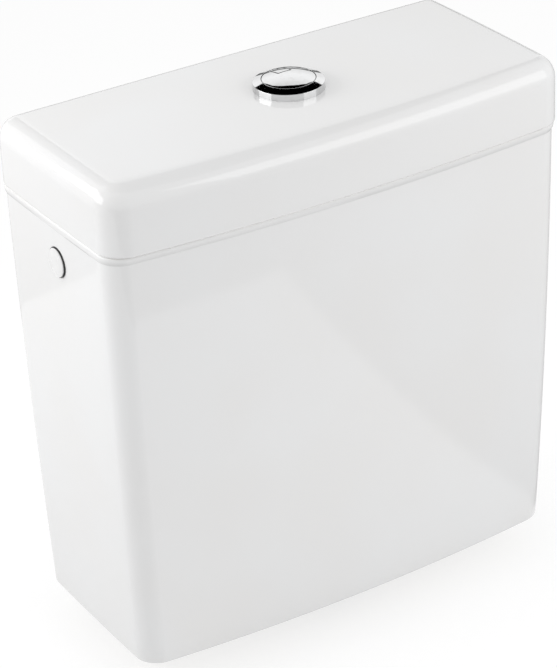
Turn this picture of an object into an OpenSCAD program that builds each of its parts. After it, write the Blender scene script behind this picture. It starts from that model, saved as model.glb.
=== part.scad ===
// Close-coupled toilet cistern with a dual-flush push button. Sizes are in millimetres.
// The origin is where the flush axis meets the plane of the tank's underside.
// +X is to the right seen from the front, -Y is the front, +Y is the wall and +Z is up.

/* [Lid] */
// Overall width of the lid
lid_w = 380; // [350:1:420]
// Depth of the lid from its back edge to its front corners
lid_d = 167; // [160:1:190]
// Height of the lid above the rim of the tank
lid_h = 51; // [46:1:60]
// How far the middle of the front stands out past the front corners
front_bow = 10; // [0:0.5:16]
// How far the middle of each side stands out
side_bow = 0.8; // [0:0.1:2]
// Rise of the lid's top from its edges to its middle
lid_crown = 2.5; // [0.5:0.1:3.5]
// Rounding of the lid's front corners in plan
lid_front_r = 19; // [14:0.5:26]
// Rounding of the lid's rear corners in plan
lid_rear_r = 15; // [10:0.5:22]
// Rounding of the lid's top edge
lid_edge_r = 17; // [8:0.5:20]
// Rounding of the lid's lower edge
lid_foot_r = 2; // [1.5:0.5:5]
// Thickness of the lid's top
lid_top_t = 12; // [9:0.5:14]
// Thickness of the locating lip under the lid
lip_t = 9; // [6:0.5:12]
// Depth of the locating lip below the rim of the tank
lip_h = 8; // [5:0.5:12]
// Gap between the locating lip and the inside of the tank
lip_gap = 2.5; // [1.5:0.5:4]

/* [Tank] */
// Height of the tank from its underside to its rim
tank_h = 341; // [320:1:380]
// Thickness of the tank's walls
wall_t = 11; // [9:0.5:13]
// Thickness of the tank's floor
floor_t = 14; // [10:0.5:18]
// How far the tank's sides lie inside the lid at the rim
rim_side_in = 1.5; // [1:0.5:4]
// How far the tank's front lies inside the lid at the rim
rim_front_in = 4; // [1.5:0.5:6]
// How far the tank's back lies inside the lid
back_in = 3; // [1:0.5:6]
// How far each side leans in from the rim to the underside
side_taper = 8.3; // [0:0.1:14]
// How far the front leans in from the rim to the underside
front_taper = 9; // [0:0.5:14]
// How far the sides and front swell between rim and underside
swell = 1.4; // [0:0.1:2.5]
// Rounding of the tank's front corners in plan
tank_front_r = 16; // [13:0.5:22]
// Rounding of the tank's rear corners in plan
tank_rear_r = 12; // [10:0.5:18]
// Height of the rounded bead round the rim
bead_h = 6.5; // [5:0.5:9]
// How far the bead stands out from the wall below it
bead_out = 1; // [0.3:0.1:1.2]
// Rounding of the tank's lower edge
foot_r = 2.5; // [1.5:0.5:5]

/* [Flush outlet] */
// Distance of the flush axis in front of the middle of the lid's depth
axis_ahead = 11; // [8:0.5:14]
// Radius of the outlet hole in the tank's floor
outlet_hole_r = 32; // [31:0.5:34]
// Radius over the thread of the flush valve's tail
tail_r = 29.8; // [29:0.1:30.4]
// Radius of the flush bore through the tail
flush_bore_r = 25; // [23:0.5:26]
// Length of the tail below the tank's underside
tail_drop = 26; // [22:1:32]
// Distance between the two holes for the bolts to the pan
bolt_spacing = 155; // [140:1:200]
// Radius of the holes for the bolts to the pan
bolt_hole_r = 6; // [5:0.5:8]

/* [Flush valve] */
// Radius of the valve's flange on the tank's floor
flange_r = 43; // [41:0.5:45]
// Outer radius of the valve tower
tower_r = 34; // [33:0.5:36]
// Thickness of the valve tower's wall
tower_t = 2.5; // [2:0.1:3]
// Distance from the rim of the tank down to the lever pin
lever_drop = 61; // [56:1:70]
// Outer radius of the overflow tube
overflow_r = 14; // [12:0.5:15]
// Distance from the rim of the tank down to the mouth of the overflow tube
overflow_drop = 103; // [98:1:120]
// Width of each lever
lever_w = 5; // [4:0.2:5.4]
// Depth of each lever's bar
lever_bar = 6; // [5:0.5:7]
// Distance from the lever pin to the tip of the full lever
full_arm = 18; // [16:0.5:18.5]
// Distance from the lever pin to the tip of the half lever
half_arm = 36; // [35.5:0.1:37]
// Radius of the lever pin
lever_pin_r = 2; // [1.5:0.1:2.4]

/* [Push button] */
// Radius of the chrome bezel
bezel_r = 26; // [25.5:0.1:29]
// Height of the bezel's outer wall
bezel_wall_h = 5.3; // [4:0.1:6]
// Rise of the bezel's sloping top
bezel_rise = 2.4; // [1.5:0.1:3]
// Radius of the round button
button_r = 19.4; // [19:0.1:20]
// Rise of the button's domed top
dome_rise = 3.6; // [2.5:0.1:4]
// Width of the square half-flush key
key_w = 10.6; // [10:0.1:11]
// Distance of the key's middle behind the flush axis
key_y = 10.5; // [10:0.1:11]
// Radius of the push rods
rod_r = 2.25; // [2:0.05:2.4]
// Sideways distance of each push rod from the flush axis
rod_x = 3; // [2.9:0.05:3.05]
// Distance of each push rod in front of or behind the flush axis
rod_y = 13; // [12.6:0.1:13.2]
// Wire diameter of the return springs
wire_d = 0.8; // [0.6:0.1:1]
// Number of turns in a return spring
spring_turns = 7; // [5:1:8]

/* [Side inlets] */
// Distance from the rim of the tank down to the inlets in the side walls
inlet_drop = 31.5; // [30:0.5:40]
// Distance of the inlets behind the flush axis
inlet_y = 9; // [0:0.5:16]
// Radius of the inlet holes
inlet_hole_r = 9; // [8.8:0.1:9.4]
// Radius over the thread of the water inlet
inlet_r = 8.33; // [8.2:0.01:8.5]
// Length of the water inlet outside the wall
inlet_tail = 25; // [20:1:30]
// Radius of the head of the plug in the unused inlet
plug_r = 10.7; // [10.5:0.1:12]
// Rise of the plug's domed face
plug_rise = 1.6; // [1:0.1:2.5]

/* [Fill valve] */
// Distance from the inner face of the wall to the discharge pipe
pipe_in = 38; // [37:0.5:44]
// Outer radius of the discharge pipe
pipe_r = 9; // [8:0.5:9.5]
// Outer radius of the fill float
fill_float_r = 27; // [24:0.5:30]
// Height of the fill float
fill_float_h = 45; // [36:1:50]
// Distance from the arm's pivot to the adjusting rod
arm_l = 46; // [44:0.5:50]
// Height that the fill float rises to shut the valve
float_travel = 20; // [14:1:22]
// Radius of the adjusting rod
adjuster_r = 2; // [1.6:0.1:2.4]

/* [Hidden] */
$fn = 64;

// Colours
glaze = "white";
chrome = "silver";
white_plastic = "whitesmoke";
grey_plastic = "lightsteelblue";
blue_plastic = "steelblue";
rubber = "dimgray";
foam = "darkslategray";
steel = "gray";

// Clearances
slide_gap = 0.4;
pin_gap = 0.06;
fit_gap = 0.02;
touch_gap = 0.3;
// How far a cutting shape runs past what it cuts
over = 1;

// Number of steps in the corners, the front and the sides of the ceramic outlines
corner_steps = 7;
front_steps = 13;
side_steps = 3;
arc_steps = 5;
wall_steps = 6;
bead_steps = 4;

// Levels and places of the ceramic pieces
rim_z = tank_h;
bead_z = rim_z - bead_h;
lid_top = rim_z + lid_h;
lid_back = lid_d / 2 + axis_ahead;
lid_front = lid_back - lid_d;
ceiling_z = lid_top - lid_top_t;
seat_sink = 0.1;
lid_fillet = 8;
rim_edge_r = 1.5;
bead_r = 2;
cut = 500;

// Plan outline of the ceramic pieces, as points counter-clockwise seen from above
function corner_arc(x, y, r, start) =
    [for (i = [0:corner_steps]) let (q = start + 90 * i / corner_steps) [x + r * cos(q), y + r * sin(q)]];
function between(p, q, count) = [for (i = [1:count]) p + (q - p) * i / (count + 1)];
function plan(a, back, front, rf, rb) = concat(
    corner_arc(a - rb, back - rb, rb, 0),
    corner_arc(-a + rb, back - rb, rb, 90),
    between([-a, back - rb], [-a, front + rf], side_steps),
    corner_arc(-a + rf, front + rf, rf, 180),
    between([-a + rf, front], [a - rf, front], front_steps),
    corner_arc(a - rf, front + rf, rf, 270),
    between([a, front + rf], [a, back - rb], side_steps));
function bowed(p, a, back, front) =
    let (mid = (back + front) / 2, u = (p.y - mid) / (back - mid))
    [p.x + sign(p.x) * side_bow * (1 - u * u) * min(1, abs(p.x) / a),
     p.y - front_bow * (1 - pow(p.x / a, 2)) * max(0, -u)];

// Share of the crown's rise at a place, which falls away to all edges of the lid
function crown_share(x, y) =
    (1 - pow(2 * x / lid_w, 2)) * max(0, 1 - pow((y - axis_ahead) / (lid_d / 2), 2));

// One level of a ceramic piece, given by how far it lies inside the lid's outline: [side, front, back]
function level(z, inset, rf, rb, crown = 0) =
    let (a = lid_w / 2 - inset.x, back = lid_back - inset.z, front = lid_front + inset.y)
    [for (p = plan(a, back, front, rf, rb)) let (b = bowed(p, a, back, front))
        [b.x, b.y, z + crown * crown_share(b.x, b.y)]];

// Closed solid through a list of levels, capped at both ends
module loft(levels) {
    n = len(levels[0]);
    top = (len(levels) - 1) * n;
    sides = [for (i = [0:n:top - n], j = [0:n - 1]) let (k = (j + 1) % n)
        each [[i + j, i + n + j, i + n + k], [i + j, i + n + k, i + k]]];
    first_cap = [for (j = [1:n - 2]) [0, j, j + 1]];
    last_cap = [for (j = [1:n - 2]) [top, top + j + 1, top + j]];
    polyhedron(points = [for (l = levels) each l], faces = concat(first_cap, sides, last_cap), convexity = 8);
}

// How far the tank's wall lies inside the lid's outline at a height
function wall_inset(z) =
    let (s = max(0, (bead_z - z) / bead_z), out = swell * 4 * s * (1 - s))
    [rim_side_in + side_taper * s - out, rim_front_in + front_taper * s - out, back_in];
function grow(inset, d) = [inset.x + d, inset.y + d, inset.z + d];
function outer_level(z, d) = level(z, grow(wall_inset(z), d) - [0, 0, back_stock], tank_front_r, tank_rear_r);
function inner_level(z, d) = level(z, grow(wall_inset(z), wall_t + d), inner_front_r, inner_rear_r);
// Extra depth behind and below the tank that a flat cut takes off
back_stock = 0.5;
foot_stock = 2;
inner_front_r = 8;
inner_rear_r = 8;

// Rounding between the inner walls and the floor, which leaves the valve's flange on the flat
floor_margin = 2;
floor_front = lid_front + wall_inset(floor_t).y + wall_t - front_bow;
floor_fillet = -floor_front - flange_r - floor_margin;

tank_levels = concat(
    [outer_level(-foot_stock, foot_r)],
    [for (i = [0:arc_steps]) let (q = 90 * i / arc_steps)
        outer_level(foot_r * (1 - cos(q)), foot_r * (1 - sin(q)))],
    [for (i = [1:wall_steps]) outer_level(foot_r + (bead_z - foot_r) * i / wall_steps, 0)],
    [for (i = [1:bead_steps - 1]) let (u = i / bead_steps)
        outer_level(bead_z + (bead_h - bead_r) * u, -bead_out * (1 - pow(1 - u, 2)))],
    [for (i = [0:arc_steps]) let (q = 90 * i / arc_steps)
        outer_level(rim_z - bead_r * (1 - sin(q)), bead_r * (1 - cos(q)) - bead_out)],
    [inner_level(rim_z, -rim_edge_r), inner_level(rim_z - rim_edge_r, 0)],
    [for (i = [1:wall_steps]) inner_level(rim_z - (rim_z - floor_t - floor_fillet) * i / wall_steps, 0)],
    [for (i = [1:arc_steps]) let (q = 90 * i / arc_steps)
        inner_level(floor_t + floor_fillet * (1 - sin(q)), floor_fillet * (1 - cos(q)))]);

// Side inlets: flats on the wall where the fittings seat
inlet_z = rim_z - inlet_drop;
spot_depth = 0.6;
function side_reach(z, y) =
    let (in = wall_inset(z), back = lid_back - in.z, front = lid_front + in.y, mid = (back + front) / 2)
    lid_w / 2 - in.x + side_bow * (1 - pow((y - mid) / (back - mid), 2));
inlet_out_x = side_reach(inlet_z, inlet_y) - spot_depth;
inlet_in_x = inlet_out_x - wall_t + 2 * spot_depth;
spot_room = 0.4;
spot_cut = 5;
cap_washer_rim = 0.4;
cap_washer_r = plug_r + cap_washer_rim;
plug_spot_r = cap_washer_r + spot_room;
nut_spot_r = 16.5;

// Places a shape that points along +Z so that it points along +X from x on the inlet's axis
module on_inlet(x) {
    translate([x, inlet_y, inlet_z]) rotate([0, 90, 0]) children();
}

module tank() {
    color(glaze) difference() {
        loft(tank_levels);
        translate([-cut / 2, -cut / 2, -cut]) cube(cut);
        translate([-cut / 2, lid_back - back_in, -cut / 2]) cube(cut);
        translate([0, 0, -over]) cylinder(r = outlet_hole_r, h = floor_t + 2 * over);
        for (x = [-1, 1] * bolt_spacing / 2)
            translate([x, 0, -over]) cylinder(r = bolt_hole_r, h = floor_t + 2 * over);
        for (side = [0, 1]) mirror([side, 0, 0]) {
            on_inlet(inlet_in_x - spot_cut) cylinder(r = inlet_hole_r, h = wall_t + 2 * spot_cut);
            on_inlet(inlet_in_x - spot_cut) cylinder(r = nut_spot_r, h = spot_cut);
            on_inlet(inlet_out_x) cylinder(r = side == 1 ? plug_spot_r : nut_spot_r, h = spot_cut);
        }
    }
}

// Lid: insets of the locating lip and the steps of its levels
lip_in = [rim_side_in, rim_front_in, back_in] + [1, 1, 1] * (wall_t + lip_gap);
lip_round = 1.5;
cavity_r = 8;
function lid_level(z, d, crown = 0) =
    level(z, [d, d, d], max(lid_front_r - d, 2), max(lid_rear_r - d, 2), crown);
function cavity_level(z, d) = level(z, grow(lip_in, d), cavity_r, cavity_r);
top_insets = [for (share = [0.38, 0.65, 0.93]) share * lid_d / 2];

lid_levels = concat(
    [for (i = [arc_steps:-1:0]) let (q = 90 * i / arc_steps)
        cavity_level(ceiling_z - lid_fillet * (1 - sin(q)), lip_t + lid_fillet * (1 - cos(q)))],
    [cavity_level(rim_z - lip_h + lip_round, lip_t), cavity_level(rim_z - lip_h, lip_t - lip_round),
     cavity_level(rim_z - lip_h, lip_round), cavity_level(rim_z - lip_h + lip_round, 0),
     cavity_level(rim_z, 0)],
    [for (i = [0:arc_steps]) let (q = 90 * i / arc_steps)
        lid_level(rim_z + lid_foot_r * (1 - cos(q)), lid_foot_r * (1 - sin(q)))],
    [for (i = [0:2 * arc_steps]) let (q = 90 * i / (2 * arc_steps))
        lid_level(lid_top - lid_edge_r * (1 - sin(q)), lid_edge_r * (1 - cos(q)), lid_crown * sin(q))],
    [for (d = top_insets) lid_level(lid_top, d, lid_crown)]);

// Push button: sleeve through the lid, and levels above and below the bezel's seat
button_gap = 0.4;
sleeve_in_r = button_r + button_gap;
sleeve_t = 1.4;
sleeve_out_r = sleeve_in_r + sleeve_t;
lid_hole_r = sleeve_out_r + touch_gap;
seat_room = 0.6;
seat_z = lid_top + lid_crown * crown_share(0, -bezel_r - seat_room) - seat_sink;
button_sink = 0.3;
button_edge_z = seat_z + bezel_wall_h + bezel_rise - button_sink;
skirt_h = 9.2;
skirt_t = 1.6;
skirt_room = 0.6;
dome_t = 1.8;
boss_z = button_edge_z - skirt_h;
boss_r = 4;
rod_socket = 5;
rod_grip = 4.8;
nut_h = 8;
nut_rim = 7;
guide_t = 3;
guide_drop = 2;
guide_rim_h = 1.5;
guide_boss_h = 6;
vent = [11, 2];
vent_r = 4.5;
sleeve_bottom = ceiling_z - nut_h - guide_drop;
guide_z = sleeve_bottom;
dome_sphere_r = (button_r * button_r + dome_rise * dome_rise) / (2 * dome_rise);
dome_centre_z = button_edge_z + dome_rise - dome_sphere_r;
key_gap = 0.3;
key_corner_r = 1.2;

module lid() {
    color(glaze) difference() {
        loft(lid_levels);
        translate([0, 0, ceiling_z - over]) cylinder(r = lid_hole_r, h = lid_top_t + lid_crown + 2 * over);
        translate([0, 0, seat_z]) cylinder(r = bezel_r + seat_room, h = lid_crown + over);
    }
}

// Chrome ring with a sloping top and a sleeve through the lid
module button_bezel() {
    edge = 0.3;
    top_z = seat_z + bezel_wall_h;
    color(chrome) rotate_extrude() union() {
        polygon([[sleeve_in_r, seat_z], [bezel_r - edge, seat_z], [bezel_r, seat_z + edge],
                 [bezel_r, top_z - edge], [bezel_r - edge, top_z],
                 [sleeve_in_r + edge, top_z + bezel_rise], [sleeve_in_r, top_z + bezel_rise - edge]]);
        translate([sleeve_in_r, sleeve_bottom])
            square([sleeve_out_r - sleeve_in_r, seat_z + edge - sleeve_bottom]);
    }
}

// Ring nut that clamps the bezel against the underside of the lid
module bezel_nut() {
    grips = 10;
    grip_r = 4;
    grip_depth = 2.5;
    nut_r = sleeve_out_r + nut_rim;
    color(white_plastic) translate([0, 0, ceiling_z - nut_h]) difference() {
        cylinder(r = nut_r, h = nut_h);
        translate([0, 0, -over]) cylinder(r = sleeve_out_r + fit_gap, h = nut_h + 2 * over);
        for (i = [0:grips - 1]) rotate(360 * i / grips)
            translate([nut_r + grip_r - grip_depth, 0, -over]) cylinder(r = grip_r, h = nut_h + 2 * over);
    }
}

// Guide plate that closes the sleeve's lower end and steers both rods
module button_guide() {
    color(white_plastic) difference() {
        union() {
            translate([0, 0, guide_z]) cylinder(r = sleeve_in_r - fit_gap, h = guide_t);
            translate([0, 0, guide_z - guide_rim_h]) cylinder(r = sleeve_out_r, h = guide_rim_h);
            for (s = [-1, 1]) translate([s * rod_x, s * rod_y, guide_z - guide_boss_h])
                cylinder(r = boss_r, h = guide_boss_h);
        }
        for (s = [-1, 1]) translate([s * rod_x, s * rod_y, guide_z - guide_boss_h - over])
            cylinder(r = rod_r + pin_gap, h = guide_t + guide_boss_h + 2 * over);
        for (s = [-1, 1]) translate([s * vent.x, -s * vent.y, guide_z - guide_rim_h - over])
            cylinder(r = vent_r, h = guide_t + guide_rim_h + 2 * over);
    }
}

// Square outline with rounded corners
module key_outline(w) {
    square([w - 2 * key_corner_r, w], center = true);
    square([w, w - 2 * key_corner_r], center = true);
    for (x = [-1, 1], y = [-1, 1]) translate([x, y] * (w / 2 - key_corner_r)) circle(key_corner_r);
}

// Solid under the button's domed top surface, down to a level
module under_dome(r, z) {
    intersection() {
        translate([0, 0, z]) cylinder(r = r, h = button_edge_z + dome_rise + over - z);
        translate([0, 0, dome_centre_z]) sphere(r = dome_sphere_r, $fn = 128);
    }
}

// Domed button with a skirt, a square opening for the key and a boss for its rod
module full_button() {
    color(chrome) difference() {
        union() {
            difference() {
                under_dome(button_r, boss_z);
                translate([0, 0, boss_z - over])
                    cylinder(r = button_r - skirt_t, h = button_edge_z - dome_t - boss_z + over);
            }
            translate([-rod_x, -rod_y, boss_z]) cylinder(r = boss_r, h = button_edge_z - dome_t / 2 - boss_z);
        }
        translate([0, key_y, boss_z - over])
            linear_extrude(button_edge_z + dome_rise + 2 * over - boss_z) key_outline(key_w + 2 * key_gap);
        translate([-rod_x, -rod_y, boss_z - over]) cylinder(r = rod_r + fit_gap, h = rod_socket + over);
    }
}

// Square key whose top carries on the button's dome
module half_key() {
    color(chrome) difference() {
        intersection() {
            under_dome(button_r - skirt_t - skirt_room, boss_z);
            translate([0, key_y, boss_z - over])
                linear_extrude(button_edge_z + dome_rise + 2 * over - boss_z) key_outline(key_w);
        }
        translate([rod_x, rod_y, boss_z - over]) cylinder(r = rod_r + fit_gap, h = rod_socket + over);
    }
}

// Flush valve: levels from the tank's floor upwards
seal_t = 4;
flange_t = 4;
flange_z = floor_t + seal_t;
foot_z = flange_z + flange_t;
seat_rise = 6;
seat_lip_z = foot_z + seat_rise;
seat_lip_t = 3;
seal_gap = 0.2;
valve_seal_t = 3;
disc_z = seat_lip_z + seal_gap + valve_seal_t;
disc_t = 4;
disc_rim = 1.5;
disc_r = seat_lip_t + flush_bore_r + disc_rim;
lever_z = rim_z - lever_drop;
tower_drop = 14;
tower_top = lever_z - tower_drop;
overflow_top = rim_z - overflow_drop;
overflow_t = 2;
pad_z = lever_z + lever_bar / 2;
lever_side = 0.6;
cheek_room = 1.9;
cheek_in = lever_side + lever_w + cheek_room;
cheek_t = 3.5;

// Push rod with a rounded tip that stands just above its lever
module push_rod(s) {
    bottom = pad_z + touch_gap;
    color(steel) translate([s * rod_x, s * rod_y, 0]) {
        translate([0, 0, bottom + rod_r]) cylinder(r = rod_r, h = boss_z + rod_grip - bottom - rod_r);
        translate([0, 0, bottom + rod_r]) sphere(r = rod_r);
    }
}
module full_push_rod() {
    push_rod(-1);
}
module half_push_rod() {
    push_rod(1);
}

// Return springs: a wire that rises straight off the guide, winds up and ends straight under the boss
spring_room = 1.5;
spring_end_gap = 0.1;
spring_r = rod_r + spring_room;
spring_low = guide_z + guide_t + spring_end_gap;
spring_high = boss_z - spring_end_gap;
ring_steps = 8;
bend_steps = 3;
bend_r = 1;
coil_low = spring_low + wire_d + bend_r;
coil_high = spring_high - wire_d - bend_r;
coil_steps = spring_turns * ring_steps;
bend_turn = bend_r / spring_r * 180 / PI;
function coil_angle(i) = bend_turn + (360 * spring_turns - 2 * bend_turn) * i / coil_steps;
spring_points = concat(
    [[0, spring_low], [0, spring_low + wire_d]],
    [for (i = [1:bend_steps]) let (q = 90 * i / (bend_steps + 1))
        [bend_turn * (1 - cos(q)), spring_low + wire_d + bend_r * sin(q)]],
    [for (i = [0:coil_steps]) [coil_angle(i), coil_low + (coil_high - coil_low) * i / coil_steps]],
    [for (i = [1:bend_steps]) let (q = 90 * i / (bend_steps + 1))
        [360 * spring_turns - bend_turn * (1 - sin(q)), coil_high + bend_r * (1 - cos(q))]],
    [[360 * spring_turns, spring_high - wire_d], [360 * spring_turns, spring_high]]);
function on_coil(p) = [spring_r * cos(p[0]), spring_r * sin(p[0]), p[1]];
spring_path = [for (p = spring_points) on_coil(p)];
wire_sides = 6;
function unit(v) = v / norm(v);
function wire_ring(i) =
    let (last = len(spring_path) - 1, t = unit(spring_path[min(i + 1, last)] - spring_path[max(i - 1, 0)]),
         out = [cos(spring_points[i][0]), sin(spring_points[i][0]), 0],
         across = unit(cross(t, out)), n = cross(across, t))
    [for (j = [0:wire_sides - 1]) let (q = 360 * j / wire_sides)
        spring_path[i] + wire_d / 2 * (n * cos(q) + across * sin(q))];
apart = ring_steps - 2;
least_gap = min([for (i = [0:len(spring_path) - 1 - apart], j = [i + apart:len(spring_path) - 1])
    norm(spring_path[i] - spring_path[j])]) - wire_d;
echo("Least gap between the turns of a return spring", least_gap);
module return_spring(s) {
    color(steel) translate([s * rod_x, s * rod_y, 0]) rotate(90 + s * 90)
        loft([for (i = [0:len(spring_path) - 1]) wire_ring(i)]);
}
module full_return_spring() {
    return_spring(-1);
}
module half_return_spring() {
    return_spring(1);
}

// Outlet of the flush valve: flange on the floor, raised seat and threaded tail
module flush_base() {
    color(white_plastic) rotate_extrude() union() {
        translate([flush_bore_r, -tail_drop]) square([tail_r - flush_bore_r, tail_drop + foot_z]);
        translate([flush_bore_r, flange_z]) square([flange_r - flush_bore_r, flange_t]);
        translate([flush_bore_r, flange_z]) square([seat_lip_t, seat_lip_z - flange_z - seat_lip_t / 2]);
        translate([flush_bore_r + seat_lip_t / 2, seat_lip_z - seat_lip_t / 2]) circle(seat_lip_t / 2);
    }
}

// Rubber washer under the flange, with a collar that centres it in the outlet hole
ring_gap = 0.2;
seal_rim = 1;
module base_seal() {
    in_r = tail_r + ring_gap;
    collar_low = floor_t - 5;
    color(rubber) rotate_extrude() polygon([
        [in_r, collar_low], [outlet_hole_r - 3 * ring_gap, collar_low], [outlet_hole_r - ring_gap, floor_t],
        [flange_r - seal_rim, floor_t], [flange_r - 2.5 * seal_rim, flange_z], [in_r, flange_z]]);
}

// Ring nut on the tail under the tank, with grips round it
tail_nut_r = 37.5;
tail_nut_h = 10;
module tail_nut() {
    grips = 12;
    grip_r = 3.5;
    grip_depth = 2;
    color(white_plastic) translate([0, 0, -tail_nut_h]) difference() {
        cylinder(r = tail_nut_r, h = tail_nut_h);
        translate([0, 0, -over]) cylinder(r = tail_r + fit_gap, h = tail_nut_h + 2 * over);
        for (i = [0:grips - 1]) rotate(360 * i / grips)
            translate([tail_nut_r + grip_r - grip_depth, 0, -over])
                cylinder(r = grip_r, h = tail_nut_h + 2 * over);
    }
}

// Foam ring that seals the tail to the pan and hides the nut
module coupling_gasket() {
    gasket_t = 9.7;
    gasket_wall = 4.2;
    gasket_edge = [4, 5];
    top_gap = 1;
    in_r = tail_r + ring_gap;
    pocket_r = tail_nut_r + touch_gap;
    pocket_z = -tail_nut_h - touch_gap;
    out_r = pocket_r + gasket_wall;
    low = pocket_z - gasket_t;
    color(foam) rotate_extrude() polygon([
        [in_r, low], [out_r - gasket_edge.x, low], [out_r, low + gasket_edge.y], [out_r, -top_gap],
        [pocket_r, -top_gap], [pocket_r, pocket_z], [in_r, pocket_z]]);
}

// Upright slot with round ends, cut outwards through a tower's wall
module window(w, low, high, turn) {
    rotate(turn) translate([0, 0, (low + high) / 2]) rotate([90, 0, 90]) linear_extrude(tower_foot_r + over) {
        square([w, high - low - w], center = true);
        for (s = [-1, 1]) translate([0, s * (high - low - w) / 2]) circle(w / 2);
    }
}

// Tower round the overflow tube, with flow windows, a cross beam and cheeks for the levers
tower_in_r = tower_r - tower_t;
tower_foot = [6, 5];
tower_foot_r = tower_r + tower_foot.x;
beam_w = 10;
beam_h = 6;
band_h = 6;
band_out = 0.2;
module valve_tower() {
    flow_windows = 6;
    flow_w = 20;
    flow_low = foot_z + tower_foot.y + 2;
    flow_top = flow_low + 65;
    side_windows = 4;
    side_w = 24;
    side_low = flow_top + 16;
    band_z = flow_top + 4;
    crown_in = 6;
    notches = 3;
    notch_r = 4;
    color(white_plastic) difference() {
        union() {
            rotate_extrude() union() {
                translate([tower_in_r, foot_z]) square([tower_t, tower_top - foot_z]);
                translate([tower_in_r, foot_z]) square([tower_foot_r - tower_in_r, tower_foot.y]);
                translate([tower_in_r, band_z]) square([tower_t + band_out, band_h]);
                translate([tower_r - crown_in, tower_top - beam_h]) square([crown_in, beam_h]);
            }
            translate([0, 0, tower_top - beam_h]) linear_extrude(beam_h) intersection() {
                square([2 * tower_r, beam_w], center = true);
                circle(tower_r - tower_t / 2);
            }
            for (s = [0, 1]) mirror([s, 0, 0]) translate([cheek_in, 0, 0]) {
                translate([0, -beam_w / 2, tower_top - beam_h])
                    cube([cheek_t, beam_w, lever_z - tower_top + beam_h]);
                translate([0, 0, lever_z]) rotate([0, 90, 0]) cylinder(r = beam_w / 2, h = cheek_t);
            }
        }
        translate([-cheek_in - cheek_t - over, 0, lever_z]) rotate([0, 90, 0])
            cylinder(r = lever_pin_r + fit_gap, h = 2 * (cheek_in + cheek_t + over));
        for (i = [0:flow_windows - 1]) window(flow_w, flow_low, flow_top, 360 * (i + 0.5) / flow_windows);
        for (i = [0:side_windows - 1])
            window(side_w, side_low, tower_top - tower_drop, 360 * (i + 0.5) / side_windows);
        for (i = [0:notches - 1]) rotate(360 * i / notches) translate([tower_foot_r, 0, foot_z - over])
            cylinder(r = notch_r, h = tower_foot.y + 2 * over);
    }
}

// Steel pin that both levers turn on, with a head at one end
module lever_pin() {
    head = 1.5;
    tip = 2;
    reach = cheek_in + cheek_t;
    color(steel) translate([-reach - head, 0, lever_z]) rotate([0, 90, 0]) {
        cylinder(r = lever_pin_r, h = 2 * reach + head + tip);
        cylinder(r = lever_pin_r + head, h = head);
    }
}

// Lever bar: a pad under the push rod on one side of the pin, a rounded tip on the other
module lever(arm) {
    boss = lever_pin_r + 2.6;
    pad_end = rod_y + lever_bar / 4;
    round_r = lever_bar / 2;
    translate([lever_side, 0, lever_z]) rotate([90, 0, 90]) linear_extrude(lever_w) difference() {
        union() {
            translate([-arm, -round_r]) square([arm + pad_end, lever_bar]);
            translate([-arm, 0]) circle(round_r);
            translate([pad_end, 0]) circle(round_r);
            circle(boss);
        }
        circle(lever_pin_r + pin_gap);
    }
}
module full_lever() {
    color(blue_plastic) rotate(180) lever(full_arm);
}
module half_lever() {
    color(grey_plastic) lever(half_arm);
}

// Overflow tube with the valve disc at its foot and a stirrup over the full lever's tip
stirrup_t = 3;
ledge_z = pad_z + touch_gap;
ledge_t = 3.7;
stirrup_x = 2 * lever_side + lever_w;
stirrup_room = 2;
ledge_grip = 5;
stirrup_y = full_arm + lever_bar / 2 + stirrup_room;
module overflow_tube() {
    web_drop = 12;
    web_h = 6;
    web_z = overflow_top - web_drop;
    color(grey_plastic) {
        difference() {
            union() {
                translate([0, 0, disc_z]) cylinder(r = overflow_r, h = overflow_top - disc_z);
                translate([0, 0, disc_z]) cylinder(r = disc_r, h = disc_t);
                translate([-stirrup_x, overflow_r - overflow_t / 2, web_z])
                    cube([stirrup_x, stirrup_y + stirrup_t - overflow_r + overflow_t / 2, web_h]);
            }
            translate([0, 0, disc_z - over])
                cylinder(r = overflow_r - overflow_t, h = overflow_top - disc_z + 2 * over);
        }
        translate([-stirrup_x, stirrup_y, web_z]) cube([stirrup_x, stirrup_t, ledge_z + ledge_t - web_z]);
        translate([-stirrup_x, full_arm - ledge_grip, ledge_z])
            cube([stirrup_x, stirrup_y + stirrup_t - full_arm + ledge_grip, ledge_t]);
    }
}

// Rubber ring under the valve disc that closes on the raised seat
module valve_seal() {
    rim = 0.8;
    color(rubber) translate([0, 0, disc_z - valve_seal_t]) difference() {
        cylinder(r = disc_r + rim, h = valve_seal_t);
        translate([0, 0, -over]) cylinder(r = overflow_r + rim, h = valve_seal_t + 2 * over);
    }
}

// Bell on the overflow tube that holds the valve open while the tank empties
full_float_rise = 90;
full_float_z = seat_lip_z + full_float_rise;
full_float_room = 3;
module full_float() {
    float_r = tower_in_r - full_float_room;
    float_h = 45;
    float_t = 1.6;
    color(blue_plastic) translate([0, 0, full_float_z]) rotate_extrude() union() {
        translate([overflow_r + fit_gap, 0]) square([float_t, float_h]);
        translate([float_r - float_t, 0]) square([float_t, float_h]);
        translate([overflow_r + fit_gap, float_h - float_t])
            square([float_r - overflow_r - fit_gap, float_t]);
    }
}

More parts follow.
